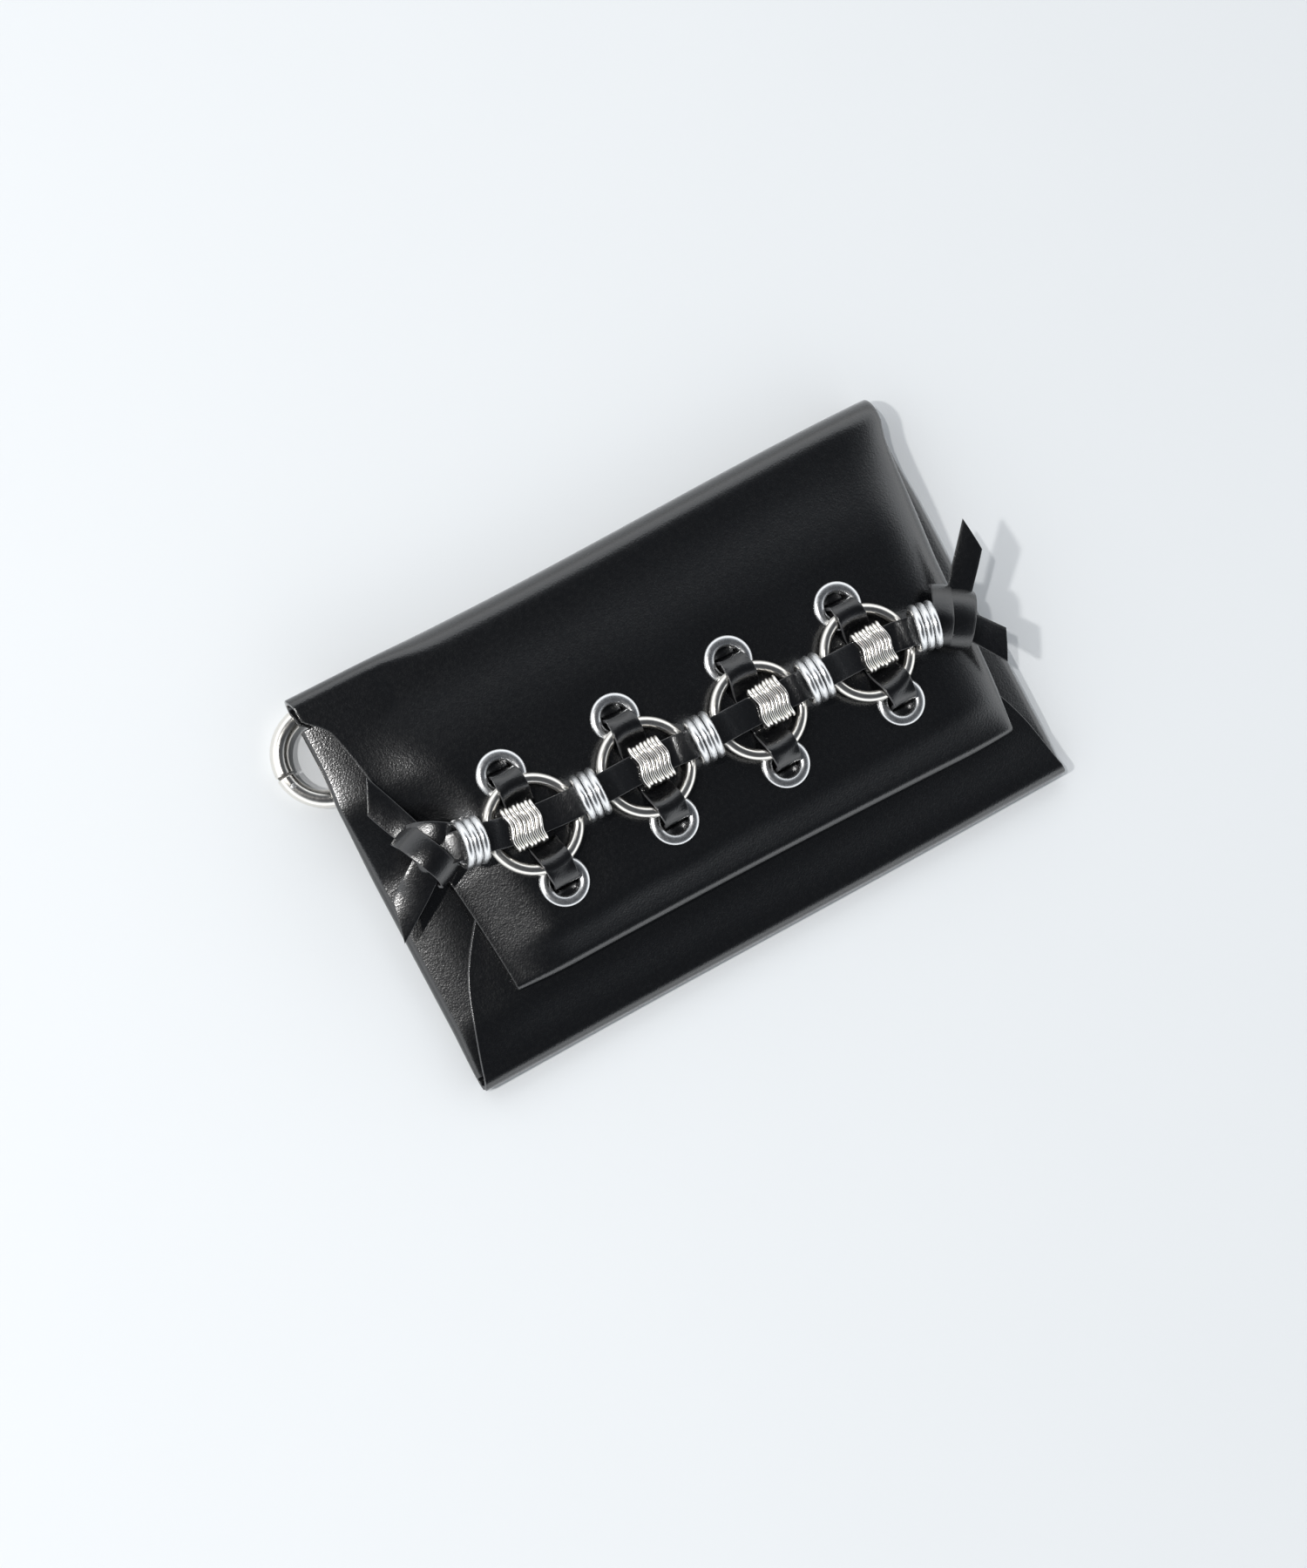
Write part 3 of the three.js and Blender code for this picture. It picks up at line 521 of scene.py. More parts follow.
EYELETS_UPPER = [(-51.2, 14.1), (-17.7, 13.4), (16.6, 13.0), (50.3, 12.3)]
EYELETS_LOWER = [(-49.6, -17.7), (-16.4, -17.2), (17.4, -18.0), (53.7, -18.0)]
O_RINGS = [(-50.4, -0.9), (-17.1, -1.6), (16.7, -2.3), (50.6, -2.3)]
CUFFS = [(-53, 0, -5), (-15.8, -1.0, -1.5), (19.9, -1.8, 0), (52, -1.8, -0.5)]
TRIOS = [(-67.6, 2.7, 23.0, 8, -8), (-34.5, -1.1, 23.75, -8, -1), (-1.0, -1.9, 23.75, -8, -1), (32.9, -1.8, 23.75, -8, 0), (66.6, -3.3, 23.95, -9, -12)]
SNAP = (0, -17.5)


def body_mid():
    ys = graded(-52.6, 47.5, 0.7, 1.35, 8)
    arc = np.linspace(90, -90, 19)[1:-1]
    top_u = np.concatenate([np.linspace(0, 1, 32)])
    back_u = graded(-1, 1, 0.004, 0.026, 0.2)
    rows, thick = [], []
    for y in ys:
        row, th = [], []

        def side(s):
            zb = 0.65 + lift(s * 88.0, y)
            raised = lift(s * 88.0, y) / 6.8
            fall = lerp(2.3, 1.75, raised) * lerp(1.0, 0.45, sm((-36 - y) / 14)) * (1.0 if s < 0 else 0.75)
            zt = 6.65 - slope(y) + lift6(s * 88.0, y) - fall
            r = (zt - zb) / 2
            cx = 90 - 0.65 - r
            pts = []
            for u in top_u:
                x = s * lerp(50.0, cx, u)
                ramp_down = fall * max(0.0, (abs(x) - 73.5) / (cx - 73.5)) ** 1.7
                pts.append((x, y, 6.65 - slope(y) + lift6(x, y) - ramp_down + 0.12 * soft(x, y) * sm((1 - u) * 3) - 0.5 * sm((60 - abs(x)) / 10)))
            slant = math.degrees(math.atan(1.7 * fall / (cx - 73.5)))
            for a in arc:
                t = math.radians(lerp(-90, 90 - slant, (a + 90) / 180))
                k = (a + 90) / 180
                pts.append((s * (cx + r * math.cos(t) - r * math.sin(math.radians(slant)) * sm(k)), y, (zb + zt) / 2 + r * math.sin(t) + r * (1 - math.cos(math.radians(slant))) * sm(k)))
            return pts, cx

        left, cl = side(-1)
        right, cr = side(1)
        back = []
        for u in back_u:
            x = u * (cl if u < 0 else cr)
            edge = sm((abs(x) - 80) / 6)
            tt = lerp(1.6, 1.3, edge)
            zl = lerp(lift(x, y), lift(math.copysign(88.0, x), y), edge)
            back.append((x, y, zl + tt / 2, tt))
        for p in left:
            row.append(p)
            th.append(1.3)
        for p in back:
            row.append(p[:3])
            th.append(p[3])
        for p in reversed(right):
            row.append(p)
            th.append(1.3)
        rows.append(row)
        thick.append(th)
    n_top, n_arc = len(top_u), len(arc)
    return np.transpose(np.array(rows), (1, 0, 2)), np.array(thick).T, n_top + n_arc, len(back_u)


def grow(m, sides=1.0):
    """The outline of the leather swells a little past the flat pattern at the ends and the fold."""
    x, y = m[..., 0], m[..., 1]
    dx = -1.7 * sm((-68 - x) / 14) * (0.45 + 0.55 * sm((36 - y) / 12))
    dx = dx + sm((x - 68) / 14) * (1.2 * sm(-y / 22) - 0.5 * sm((y - 25) / 15))
    dy = 2.4 * sm((x + 40) / 115) * sm((y - 32) / 20) - 0.7 * sm((x + 60) / 110) * sm((-36 - y) / 14)
    out = np.array(m, float)
    out[..., 0] = x + dx * sides
    out[..., 1] = y + dy
    return out


mid, thick, n_side, n_back = body_mid()
mid, thick = grow(mid[::-1]), thick[::-1]  # so that the top of the sheet faces outwards
last_row = mid.shape[1] - 1


def body_cap(a, b):
    """The back panel runs on into the front panel at one end and into the flap at the other."""
    if a[1] != b[1] or a[1] not in (0, last_row):
        return False
    return min(a[0], b[0]) >= n_side and max(a[0], b[0]) <= n_side + n_back - 1


body = sheet_object("body_leather", mid, thick, [LEATHER, EDGE], bevel=0.3, cap=body_cap)

# ------------------------------------------------------------------ front panel
front_half = smooth_table([[-57, 89.7], [-45, 86.4], [-30.6, 81.6], [-16.3, 73.3], [0, 61], [14, 46], [22, 34]])


def front_mid():
    zb, zt0 = 0.7, 5.7
    r = (zt0 - zb) / 2
    cy = -56.5 + 0.7 + r
    path = [(-52.6, zb + 0.1, 1.6), (-53.0, zb + 0.02, 1.45), (cy, zb, 1.4)] if cy < -53.0 else [(-52.6, zb + 0.1, 1.6), (-52.9, zb, 1.45)]
    for a in np.linspace(-90, -270, 22)[1:]:
        t = math.radians(a)
        path.append((cy + r * math.cos(t), (zb + zt0) / 2 + r * math.sin(t), 1.4))
    ys = np.concatenate([np.arange(-52.6, -36, 0.8), np.arange(-36, 22, 1.4), [22.0]])
    for y in ys:
        path.append((y, zt0 + 2.6 * float(sm((y + 53.5) / 15)), 1.4))
    path = np.array(path)
    us = graded(-1, 1, 0.006, 0.024, 0.15)
    out = np.zeros((len(us), len(path), 3))
    for k, (y, z, t) in enumerate(path):
        h = 89.7 if z < 2 else float(front_half(y))
        x = us * h
        wave = 0.14 * soft(x + 31, y) * sm((1 - abs(us)) * 6) if z > 5 else 0 * x
        sag = -0.35 * sm((abs(us) - 0.86) / 0.14) * sm((y + 50) / 8) if z > 5 else 0 * x
        out[:, k] = np.stack([x, np.full_like(x, y), z + wave + sag], 1)
    return out, np.broadcast_to(path[:, 2], (len(us), len(path)))


mid, thick = front_mid()
# the top of the sheet is the outside
front = sheet_object("front_leather", grow(mid)[::-1], thick[::-1], [LEATHER, EDGE], bevel=0.22, cap=lambda a, b: a[1] == 0 and b[1] == 0)

# ------------------------------------------------------------------ flap
flap_left = smooth_table([[-40, -72.2], [-20, -73.6], [-3, -75.4], [14, -77.4], [29, -81.6], [36, -82.9], [44, -85], [49.5, -89.5]])
flap_right = smooth_table([[-40, 79.5], [-20, 81.4], [5, 82.6], [28, 84.6], [44, 86.2], [49.5, 88.2]])
edge_under = lambda y: lerp(9.55, 7.65, sm((y + 8) / 22))
crown = lambda y: 14 + 2.5 * sm((47 - y) / 25) - 1.1 * sm((-26 - y) / 11)


def pillow(x, y):
    left, right = np.maximum(0, x - flap_left(y)), np.maximum(0, flap_right(y) - x)
    a = np.minimum(1, left / 18)
    b = np.minimum(1, right / 15)
    return np.minimum(0.3 * np.sin(math.pi / 2 * a) + 0.7 * sm(a), np.sqrt(1 - (1 - b) ** 2))


def swell(x, y):
    """A slight rise of the leather between the eyelets, and slow unevenness."""
    s = np.ones_like(x * 1.0)
    for ex, ey in EYELETS_UPPER + EYELETS_LOWER:
        r = np.hypot(x - ex, y - ey)
        s = s * (1 - np.exp(-(np.maximum(0, r - 6.6) / 5.5) ** 2))
    inner = sm((44 - y) / 12) * sm((y + 33) / 6)
    return s * inner * (0.22 + 0.16 * soft(x, y))


hem_line = lambda u: lerp(-35.7, -38.2, u) + 0.8 * (1 - (2 * u - 1) ** 2)


def outer_top(x, y):
    e = edge_under(y) + 1.0 + 0.3 + 1.3
    c = np.maximum(crown(y), e)
    l6 = lift6(x, y)
    p = pillow(x, y)
    u = (x - flap_left(y)) / (flap_right(y) - flap_left(y))
    roll = 1.5 * (1 - np.sin(math.pi / 2 * np.clip((y - hem_line(u)) / 10.5, 0, 1))) * sm((-20 - y) / 4) * sm((x + 70) / 16)
    return e + l6 + np.maximum(0, c - e - l6) * p + swell(x, y) * p - roll * p


hem_r = lambda u: lerp(0.72, 1.55, np.sin(math.pi / 2 * np.minimum(1, np.minimum(u, 1 - u) / 0.12)))


def flap_mid():
    us = graded(0, 1, 0.0035, 0.0072, 0.06)
    cols, th, weight = [], [], []
    x_fold = lerp(-90.4, 88.6, us)
    zb = 0.65 + lift(x_fold, 50.0)
    zt = outer_top(lerp(flap_left(49.5), flap_right(49.5), us), np.full_like(us, 49.5)) - 0.65
    r = (zt - zb) / 2
    cy = 56.5 - 0.65 - r
    for y, xl, xr, t in ((47.5, -87.7, 87.7, 1.6), (48.3, -88.7, 88.0, 1.5), (49.2, -89.7, 88.4, 1.4)):
        x = lerp(xl, xr, us)
        cols.append(np.stack([x, np.full_like(us, y), t / 2 + lift(x, 50.0)], 1))
        th.append(t)
        weight.append(0.0)
    for a in np.linspace(-90, 90, 31):
        t = math.radians(a)
        k = (a + 90) / 180
        x = lerp(-90.4 + 0.8 * sm((k - 0.55) / 0.45), 88.6 - 0.3 * k, us)
        cols.append(np.stack([x, cy + r * math.cos(t), (zb + zt) / 2 + r * math.sin(t)], 1))
        th.append(1.3)
        weight.append(k)
    n_fold = len(cols)
    start = cy  # the level part begins where the fold ends
    ss = np.concatenate([np.linspace(0, 1, 86)[1:]])
    for s in ss:
        y0 = hem_line(us)
        y = lerp(np.minimum(start, 50.4), y0, s)
        yy = np.minimum(y, 49.5)
        x = lerp(flap_left(yy), flap_right(yy), us)
        x = x + (us < 0.5) * (-0.1) * sm((y - 48.5) / 2) * 0
        cols.append(np.stack([x, y, outer_top(x, yy) - 0.65], 1))
        th.append(1.3)
        weight.append(1.0)
    y0, rr = hem_line(us), hem_r(us)
    x = lerp(flap_left(y0), flap_right(y0), us)
    z = outer_top(x, y0) - 0.65
    for a in np.linspace(0, 1, 15)[1:]:
        t = math.pi / 2 + a * math.pi
        cols.append(np.stack([x, y0 + rr * math.cos(t), z - rr + rr * math.sin(t)], 1))
        th.append(1.3)
        weight.append(1.0)
    for a in np.linspace(0, 1, 7)[1:]:
        cols.append(np.stack([x, y0 + a * 8.5, z - 2 * rr], 1))
        th.append(1.3)
        weight.append(1.0)
    m = np.transpose(np.array(cols), (1, 0, 2))
    return m, np.broadcast_to(np.array(th), m.shape[:2]), np.array(weight)


mid, thick, weight = flap_mid()
mid = grow(mid, sm((mid[..., 1] - 44) / 6) * 0.6)


def eyelet_holes(m):
    c = (m[:-1, :-1] + m[1:, :-1] + m[1:, 1:] + m[:-1, 1:]) / 4
    gone = np.zeros(c.shape[:2], bool)
    for ex, ey in EYELETS_UPPER + EYELETS_LOWER:
        gone |= (np.hypot(c[..., 0] - ex, c[..., 1] - ey) < 4.6) & (c[..., 2] > 14)
    return gone


flap = sheet_object("flap_leather", mid, thick, [LEATHER, LEATHER], bevel=0.6, cap=lambda a, b: a[1] == 0 and b[1] == 0, removed=eyelet_holes)

# ------------------------------------------------------------------ lining of the flap


def lining_mid():
    us, vs = graded(0, 1, 0.004, 0.014, 0.06), np.linspace(0, 1, 62)
    u, v = np.meshgrid(us, vs, indexing="ij")
    y = lerp(44.5, hem_line(u) + 9.4, v)
    x = lerp(flap_left(y) + 0.8, flap_right(y) - 0.8, u)
    e = edge_under(y) + 0.5 + lift6(x, y)
    c = crown(y) - 4.6
    return np.stack([x, y, e + np.maximum(0, c - e) * pillow(x, y) + 0.06 * soft(x * 2, y * 2) * pillow(x, y)], 2)


def snap_hole(m):
    c = (m[:-1, :-1] + m[1:, :-1] + m[1:, 1:] + m[:-1, 1:]) / 4
    return np.hypot(c[..., 0] - SNAP[0], c[..., 1] - SNAP[1]) < 2.6


lining = sheet_object("flap_lining_leather", lining_mid(), 1.0, [LINING, EDGE], bevel=0.2, removed=snap_hole)

# ------------------------------------------------------------------ card pocket


def pocket():
    xs, ys = np.linspace(-46, 46, 60), np.linspace(-49, 8, 40)
    x, y = np.meshgrid(xs, ys, indexing="ij")
    dip = 1.1 * sm((7.5 - y) / 20) * 0 + 0
    edge = sm((np.minimum(46 - abs(x), y + 49) - 0.5) / 2.5)
    z = lerp(2.35, 3.0, edge) + dip
    return np.stack([x, y - 3.2 * sm(1 - abs(x) / 12) * sm((y - 2) / 6), z], 2)


pocket_obj = sheet_object("card_pocket_leather", pocket(), 0.8, [LINING, EDGE], bevel=0.18)

# ------------------------------------------------------------------ eyelets
h, R, Z = 3.75, 6.65, 16.5
profile = [(h, Z - 1.75), (h - 0.02, Z + 0.3)]
for a in np.linspace(180, 12, 18):
    t = math.radians(a)
    profile.append(((h + R) / 2 + (R - h) / 2 * math.cos(t) * 1.0, Z + 0.2 + 0.95 * math.sin(t) ** 0.85))
profile += [(R, Z + 0.14), (h + 0.7, Z + 0.12), (h + 0.7, Z - 1.48), (R - 1.0, Z - 1.5), (R - 1.0, Z - 1.75)]
ev, ef, es = lathe(profile, 72)
eyelets = []
for k, (x, y) in enumerate(EYELETS_UPPER):
    o = new_object(f"eyelet_up_{k + 1}", turned(ev, ("Z", 11 * k), (x, y, 0)), ef, [SATIN])
    eyelets.append((o, f"eyelet_upper_{k + 1}"))
for k, (x, y) in enumerate(EYELETS_LOWER):
    o = new_object(f"eyelet_low_{k + 1}", turned(ev, ("Z", 17 * k), (x, y, 0)), ef, [SATIN])
    eyelets.append((o, f"eyelet_lower_{k + 1}"))

# ------------------------------------------------------------------ O-rings, jump rings
ring_objects = []
ang = 2 * math.pi * np.arange(112) / 112
for k, (x, y) in enumerate(O_RINGS):
    path = np.stack([x + 11.7 * np.cos(ang), y + 11.7 * np.sin(ang), np.full_like(ang, 19.55)], 1)
    v, f, s = tube(path, 1.6, 28)
    ring_objects.append((new_object(f"o_ring_wire_{k + 1}", v, f, [NICKEL]), f"o_ring_{k + 1}", f"o_ring_{k + 1}"))

jump_objects = []
ang = 2 * math.pi * np.arange(64) / 64
for i, (x, y, z, lean, turn) in enumerate(TRIOS):
    for k, letter in enumerate("abc"):
        # a ring in the YZ plane, slightly out of true
        wob = 0.06 * math.sin(3.1 * i + 2.0 * k)
        path = np.stack([wob * np.cos(ang * 2 + i), 5.6 * np.cos(ang), 5.6 * np.sin(ang)], 1)
        path = turned(path, ((k - 1) * 2.17, 0, 0), ("Y", lean), ("Z", turn), (x, y, z))
        v, f, s = tube(path, 1.05, 18, up=(1, 0, 0.01))
        jump_objects.append((new_object(f"jump_ring_wire_{i + 1}{letter}", v, f, [SATIN]), f"jump_rings_{i + 1}", f"jump_ring_{i + 1}{letter}"))

# ------------------------------------------------------------------ cuffs: eight wires side by side, each closed round the lace
cuff_objects = []
for i, (x, y, turn) in enumerate(CUFFS):
    parts = []
    for k in range(8):
        n = 84
        a = 2 * math.pi * np.arange(n) / n
        c, d = np.cos(a), np.sin(a)
        kk = 1 / (abs(c) ** 2.7 + abs(d) ** 2.7) ** (1 / 2.7)
        ha = 5.58 + 0.16 * math.sin(2.3 * k + 1.7 * i) + 0.1 * math.sin(5.1 * k)
        hh = 2.24 + 0.05 * math.sin(1.9 * k + i)
        yy, zz = ha * kk * c, hh * kk * d
        top = sm(zz / 1.6 + 0.4)
        wave = 0.4 * np.sin(2 * math.pi * (yy + 1.0 + 0.3 * math.sin(i)) / 7.6) * top
        xx = (k - 3.5) * 1.1 + wave + 0.03 * np.sin(yy * 0.9 + 2.2 * k) * top
        zz = zz + 0.04 * np.sin(yy * 1.1 + k * 1.3 + i) * top
        parts.append(tube(np.stack([xx, yy, zz], 1), 0.5, 12, up=(1, 0, 0)))
    v, f, s = merged(parts)
    o = new_object(f"cuff_wires_{i + 1}", turned(v, ("Z", turn), (x, y, 21.93)), f, [NICKEL_WIRE])
    cuff_objects.append((o, f"cuff_{i + 1}", f"cuff_{i + 1}"))

# ------------------------------------------------------------------ strips that hold the O-rings
strip_objects = []
for i, (rx, ry) in enumerate(O_RINGS):
    (ux, uy), (lx, ly) = EYELETS_UPPER[i], EYELETS_LOWER[i]

    def half(hole):
        return [
            (0, 17.6, 7.9), (3, 17.6, 7.9), (5.2, 17.75, 7.9), (6.9, 18.5, 7.9), (8.6, 20.1, 7.9), (10.1, 21.55, 7.9), (11.8, 22.1, 7.9), (13.5, 21.5, 7.6),
            (hole - 0.1, 19.8, 6.9), (hole + 0.3, 17.8, 6.3), (hole + 0.5, 16, 6.1), (hole + 0.9, 14.6, 6.1), (hole + 2.2, 13.78, 6.4), (hole + 5, 13.72, 7.4), (hole + 9, 13.72, 7.6),
        ]

    up, down = half(uy - ry), half(ry - ly)
    line = [(-d, z, w) for d, z, w in reversed(down[1:])] + up
    line = catmull(line, 5)
    cols = 11
    q = np.linspace(-0.5, 0.5, cols)
    mid = np.zeros((len(line), cols, 3))
    for k, (d, z, w) in enumerate(line):
        x = lerp(lx, ux, (ry + d - ly) / (uy - ly))
        a = abs(d)
        follow = float(sm((a - 4.5) / 3) * sm((14.4 - a) / 1.2))
        off = q * w
        inward = 11.7 - np.sqrt(11.7**2 - np.minimum(9, abs(x + off - rx)) ** 2)
        # the strip cups a little across as it goes down into the hole
        cupping = 0.5 * float(sm((a - 12.5) / 2.5)) * (2 * q) ** 2 * float(sm((20.5 - a) / 3))
        mid[k] = np.stack([x + off, ry + math.copysign(1, d) * (a - inward * follow), z + cupping], 1)
    v, f, s = leather_sheet(mid, 1.1, bevel=0.2)
    strip_objects.append((new_object(f"strip_leather_{i + 1}", v, f, [LACE, EDGE], s), f"ring_strip_{i + 1}"))

# ------------------------------------------------------------------ lace, two layers
LACE_PATH = [
    [-73.0, 3.5, 22.1], [-70.4, 3.1, 22.7], [-67.1, 2.7, 22.95], [-62.4, 1.6, 22.9], [-58.6, 0.7, 22.2], [-53, 0, 21.95], [-46, -0.6, 21.95], [-41.8, -0.9, 22.3], [-38.7, -1.0, 22.75],
    [-34.7, -1.1, 23.1], [-28.8, -1.1, 22.75], [-25.4, -1.05, 22.3], [-21.8, -1, 21.95], [-15.8, -1, 21.9], [-9.8, -1.3, 21.95], [-7.6, -1.5, 22.4], [-5.0, -1.7, 22.8], [-1.2, -1.9, 23.1],
    [5.0, -1.85, 22.75], [8.4, -1.8, 22.3], [12.5, -1.8, 21.95], [19.9, -1.8, 21.9], [25.4, -1.8, 22.15], [28.4, -1.8, 22.75], [32.7, -1.8, 23.1], [38.9, -1.8, 22.75],
    [42.3, -1.8, 22.3], [46, -1.8, 21.95], [52, -1.8, 21.9], [57.6, -1.95, 22.0], [60, -2.3, 22.4], [62.3, -2.6, 23.0], [66.6, -3.3, 23.55], [70, -4.1, 23.4], [73.0, -4.9, 22.7],
]
EXT_L = [[-79.0, 5.2, 20.6], [-76.2, 4.4, 21.5]]
EXT_R = [[75.6, -5.9, 21.9], [78.6, -7.0, 21.0]]
lace_objects = []
for name, off, node in (("lace_band_lower", -0.65, "lace_lower"), ("lace_band_upper", 0.65, "lace_upper")):
    c = catmull(EXT_L + LACE_PATH + EXT_R, 6)
    tan = unit(np.gradient(c, axis=0))
    across = unit(np.stack([-tan[:, 1], tan[:, 0], np.zeros(len(c))], 1))
    nor = np.cross(tan, across)
    # between the rings the upper layer bellies up by a hair
    c = c + nor * off
    v, f, s = ribbon(c, across, 7.8, 1.1, cols=9, bevel=0.2, crown=0.12 if off > 0 else 0.0)
    lace_objects.append((new_object(name, v, f, [LACE, EDGE], s), node))

# ------------------------------------------------------------------ knots


def superellipsoid(cx, cy, cz, turn, size, nu=28, nv=16):
    verts, faces = [], []
    for j in range(nv + 1):
        b = -math.pi / 2 + math.pi * j / nv
        for i in range(nu):
            a = 2 * math.pi * i / nu
            p = np.array([math.cos(b) * math.cos(a), math.cos(b) * math.sin(a), math.sin(b)])
            verts.append(np.sign(p) * abs(p) ** 0.8 * np.array(size))
    keep, faces = np.array(verts), []
    # one point at each pole
    pts = [keep[0]] + [keep[j * nu + i] for j in range(1, nv) for i in range(nu)] + [keep[-1]]
    idx = lambda j, i: 1 + (j - 1) * nu + i % nu
    for i in range(nu):
        faces.append([0, idx(1, i + 1), idx(1, i)])
        faces.append([len(pts) - 1, idx(nv - 1, i), idx(nv - 1, i + 1)])
        for j in range(1, nv - 1):
            faces.append([idx(j, i), idx(j, i + 1), idx(j + 1, i + 1), idx(j + 1, i)])
    return turned(np.array(pts), ("Z", turn), (cx, cy, cz)), faces, [0] * len(faces)


def band(points, across, width, crown=0.25, t=1.1):
    c = respaced(catmull(points, 8), 44)
    a = np.tile(np.asarray(across, float), (len(c), 1))
    tan = unit(np.gradient(c, axis=0))
    a = a - tan * np.sum(a * tan, 1)[:, None]
    return ribbon(c, a, width, t, cols=9, bevel=0.22, crown=crown)


left_parts = [
    superellipsoid(-78.4, 4.8, 18.9, 66, [4.6, 2.9, 2.6]),
    # the front wrap, from upper left to lower right
    band([(-81.6, 12.4, 17.6), (-81.4, 11.7, 19.8), (-80.7, 10.2, 21.8), (-79.4, 7.0, 23.4), (-77.9, 3.4, 24.0), (-76.5, 0.2, 23.2), (-75.7, -1.9, 21.3), (-75.5, -2.6, 18.9), (-76.3, -2.0, 17.0)], (0.92, 0.39, 0.02), 6.9),
    # the upper loop, from behind the front wrap to the incoming lace
    band([(-80.2, 11.0, 19.6), (-77.9, 10.4, 21.4), (-74.8, 8.9, 22.5), (-72.1, 7.2, 22.6), (-70.4, 5.9, 21.2), (-69.9, 5.0, 19.2), (-70.6, 4.0, 17.6)], (0.5, 0.86, 0.1), 6.2),
    plate([(-75.8, 11.6, 18.6), (-78.2, 18.6, 17.4), (-80.4, 24.4, 17.2), (-82.4, 29.3, 17.3)], [(-81.3, 7.6, 18.2), (-83.4, 12.6, 17.3), (-85.2, 16.9, 17.0), (-86.6, 20.6, 16.9)], bow=0.25),
    plate([(-81.9, 5.4, 18.4), (-85.4, 2.9, 17.2), (-88.2, 0.7, 15.6), (-90.6, -1.3, 14.6)], [(-77.9, -1.6, 18.2), (-82.9, -5.4, 17.0), (-87.9, -9.0, 15.2), (-93.0, -12.5, 13.5)], bow=0.3),
]
v, f, s = merged(left_parts)
left_knot = new_object("left_knot_leather", v, f, [LACE, EDGE], s)

right_parts = [
    superellipsoid(77.3, -5.9, 19.6, 62, [4.6, 3.2, 2.7]),
    # the front wrap
    band([(81.7, 1.0, 17.8), (81.7, 0.4, 19.9), (81.0, -0.8, 21.9), (79.4, -3.0, 23.5), (77.2, -6.2, 24.0), (75.1, -9.4, 23.0), (73.8, -11.3, 21.1), (73.5, -11.8, 19.0), (74.3, -11.0, 17.2)], (0.84, -0.53, -0.04), 7.2),
    # the loop on the side of the incoming lace
    band([(77.4, 4.3, 18.6), (76.9, 3.8, 20.6), (75.5, 2.0, 22.7), (73.6, -0.9, 24.4), (71.7, -4.2, 25.1), (70.0, -7.4, 23.7), (69.3, -9.0, 21.4), (69.5, -9.2, 19.2)], (0.86, -0.5, 0.0), 5.6),
    plate([(77.6, 1.2, 19.6), (82.2, 7.0, 20.2), (86.9, 12.4, 20.9), (91.2, 17.4, 21.5)], [(82.3, -3.6, 19.2), (85.8, 0.4, 20.0), (89.0, 4.1, 20.8), (92.1, 7.8, 21.3)], bow=0.25),
    plate([(82.2, -6.0, 19.0), (84.6, -8.8, 18.8), (86.8, -11.4, 18.6), (88.9, -13.9, 18.5)], [(77.6, -11.8, 18.8), (80.2, -15.4, 18.6), (82.6, -18.8, 18.4), (85.0, -22.1, 18.2)], bow=0.25),
]
v, f, s = merged(right_parts)
right_knot = new_object("right_knot_leather", v, f, [LACE, EDGE], s)

# ------------------------------------------------------------------ snap
v, f, s = lathe(rounded([[0, 9.3], [7.5, 9.3], [7.5, 10.1], [0.9, 10.1], [0.9, 9.7], [0, 9.7]], 0.25), 72)
snap_socket = new_object("snap_socket_disc", turned(v, (*SNAP, 0)), f, [NICKEL])
v, f, s = lathe(rounded([[0, 10.35], [7.5, 10.35], [7.5, 11.1], [1.5, 11.1], [1.5, 13.3], [0, 13.3]], 0.3), 72)
snap_stud = new_object("snap_stud_disc", turned(v, (*SNAP, 0)), f, [NICKEL])
v, f, s = lathe(rounded([[2.0, 12.7], [6, 12.7], [6, 13.1], [2.0, 13.1]], 0.12), 60)
snap_washer = new_object("snap_washer_disc", turned(v, (*SNAP, 0)), f, [SATIN])

# ------------------------------------------------------------------ spring-gate ring
CX, CY, CZ, CR, WIRE, TILT, PIN, TIP = -87, 40.2, 3.25, 11.75, 2.4, 3.9, 199, 97


def clip(v):
    return turned(v, ("Y", -TILT), (CX, CY, CZ))


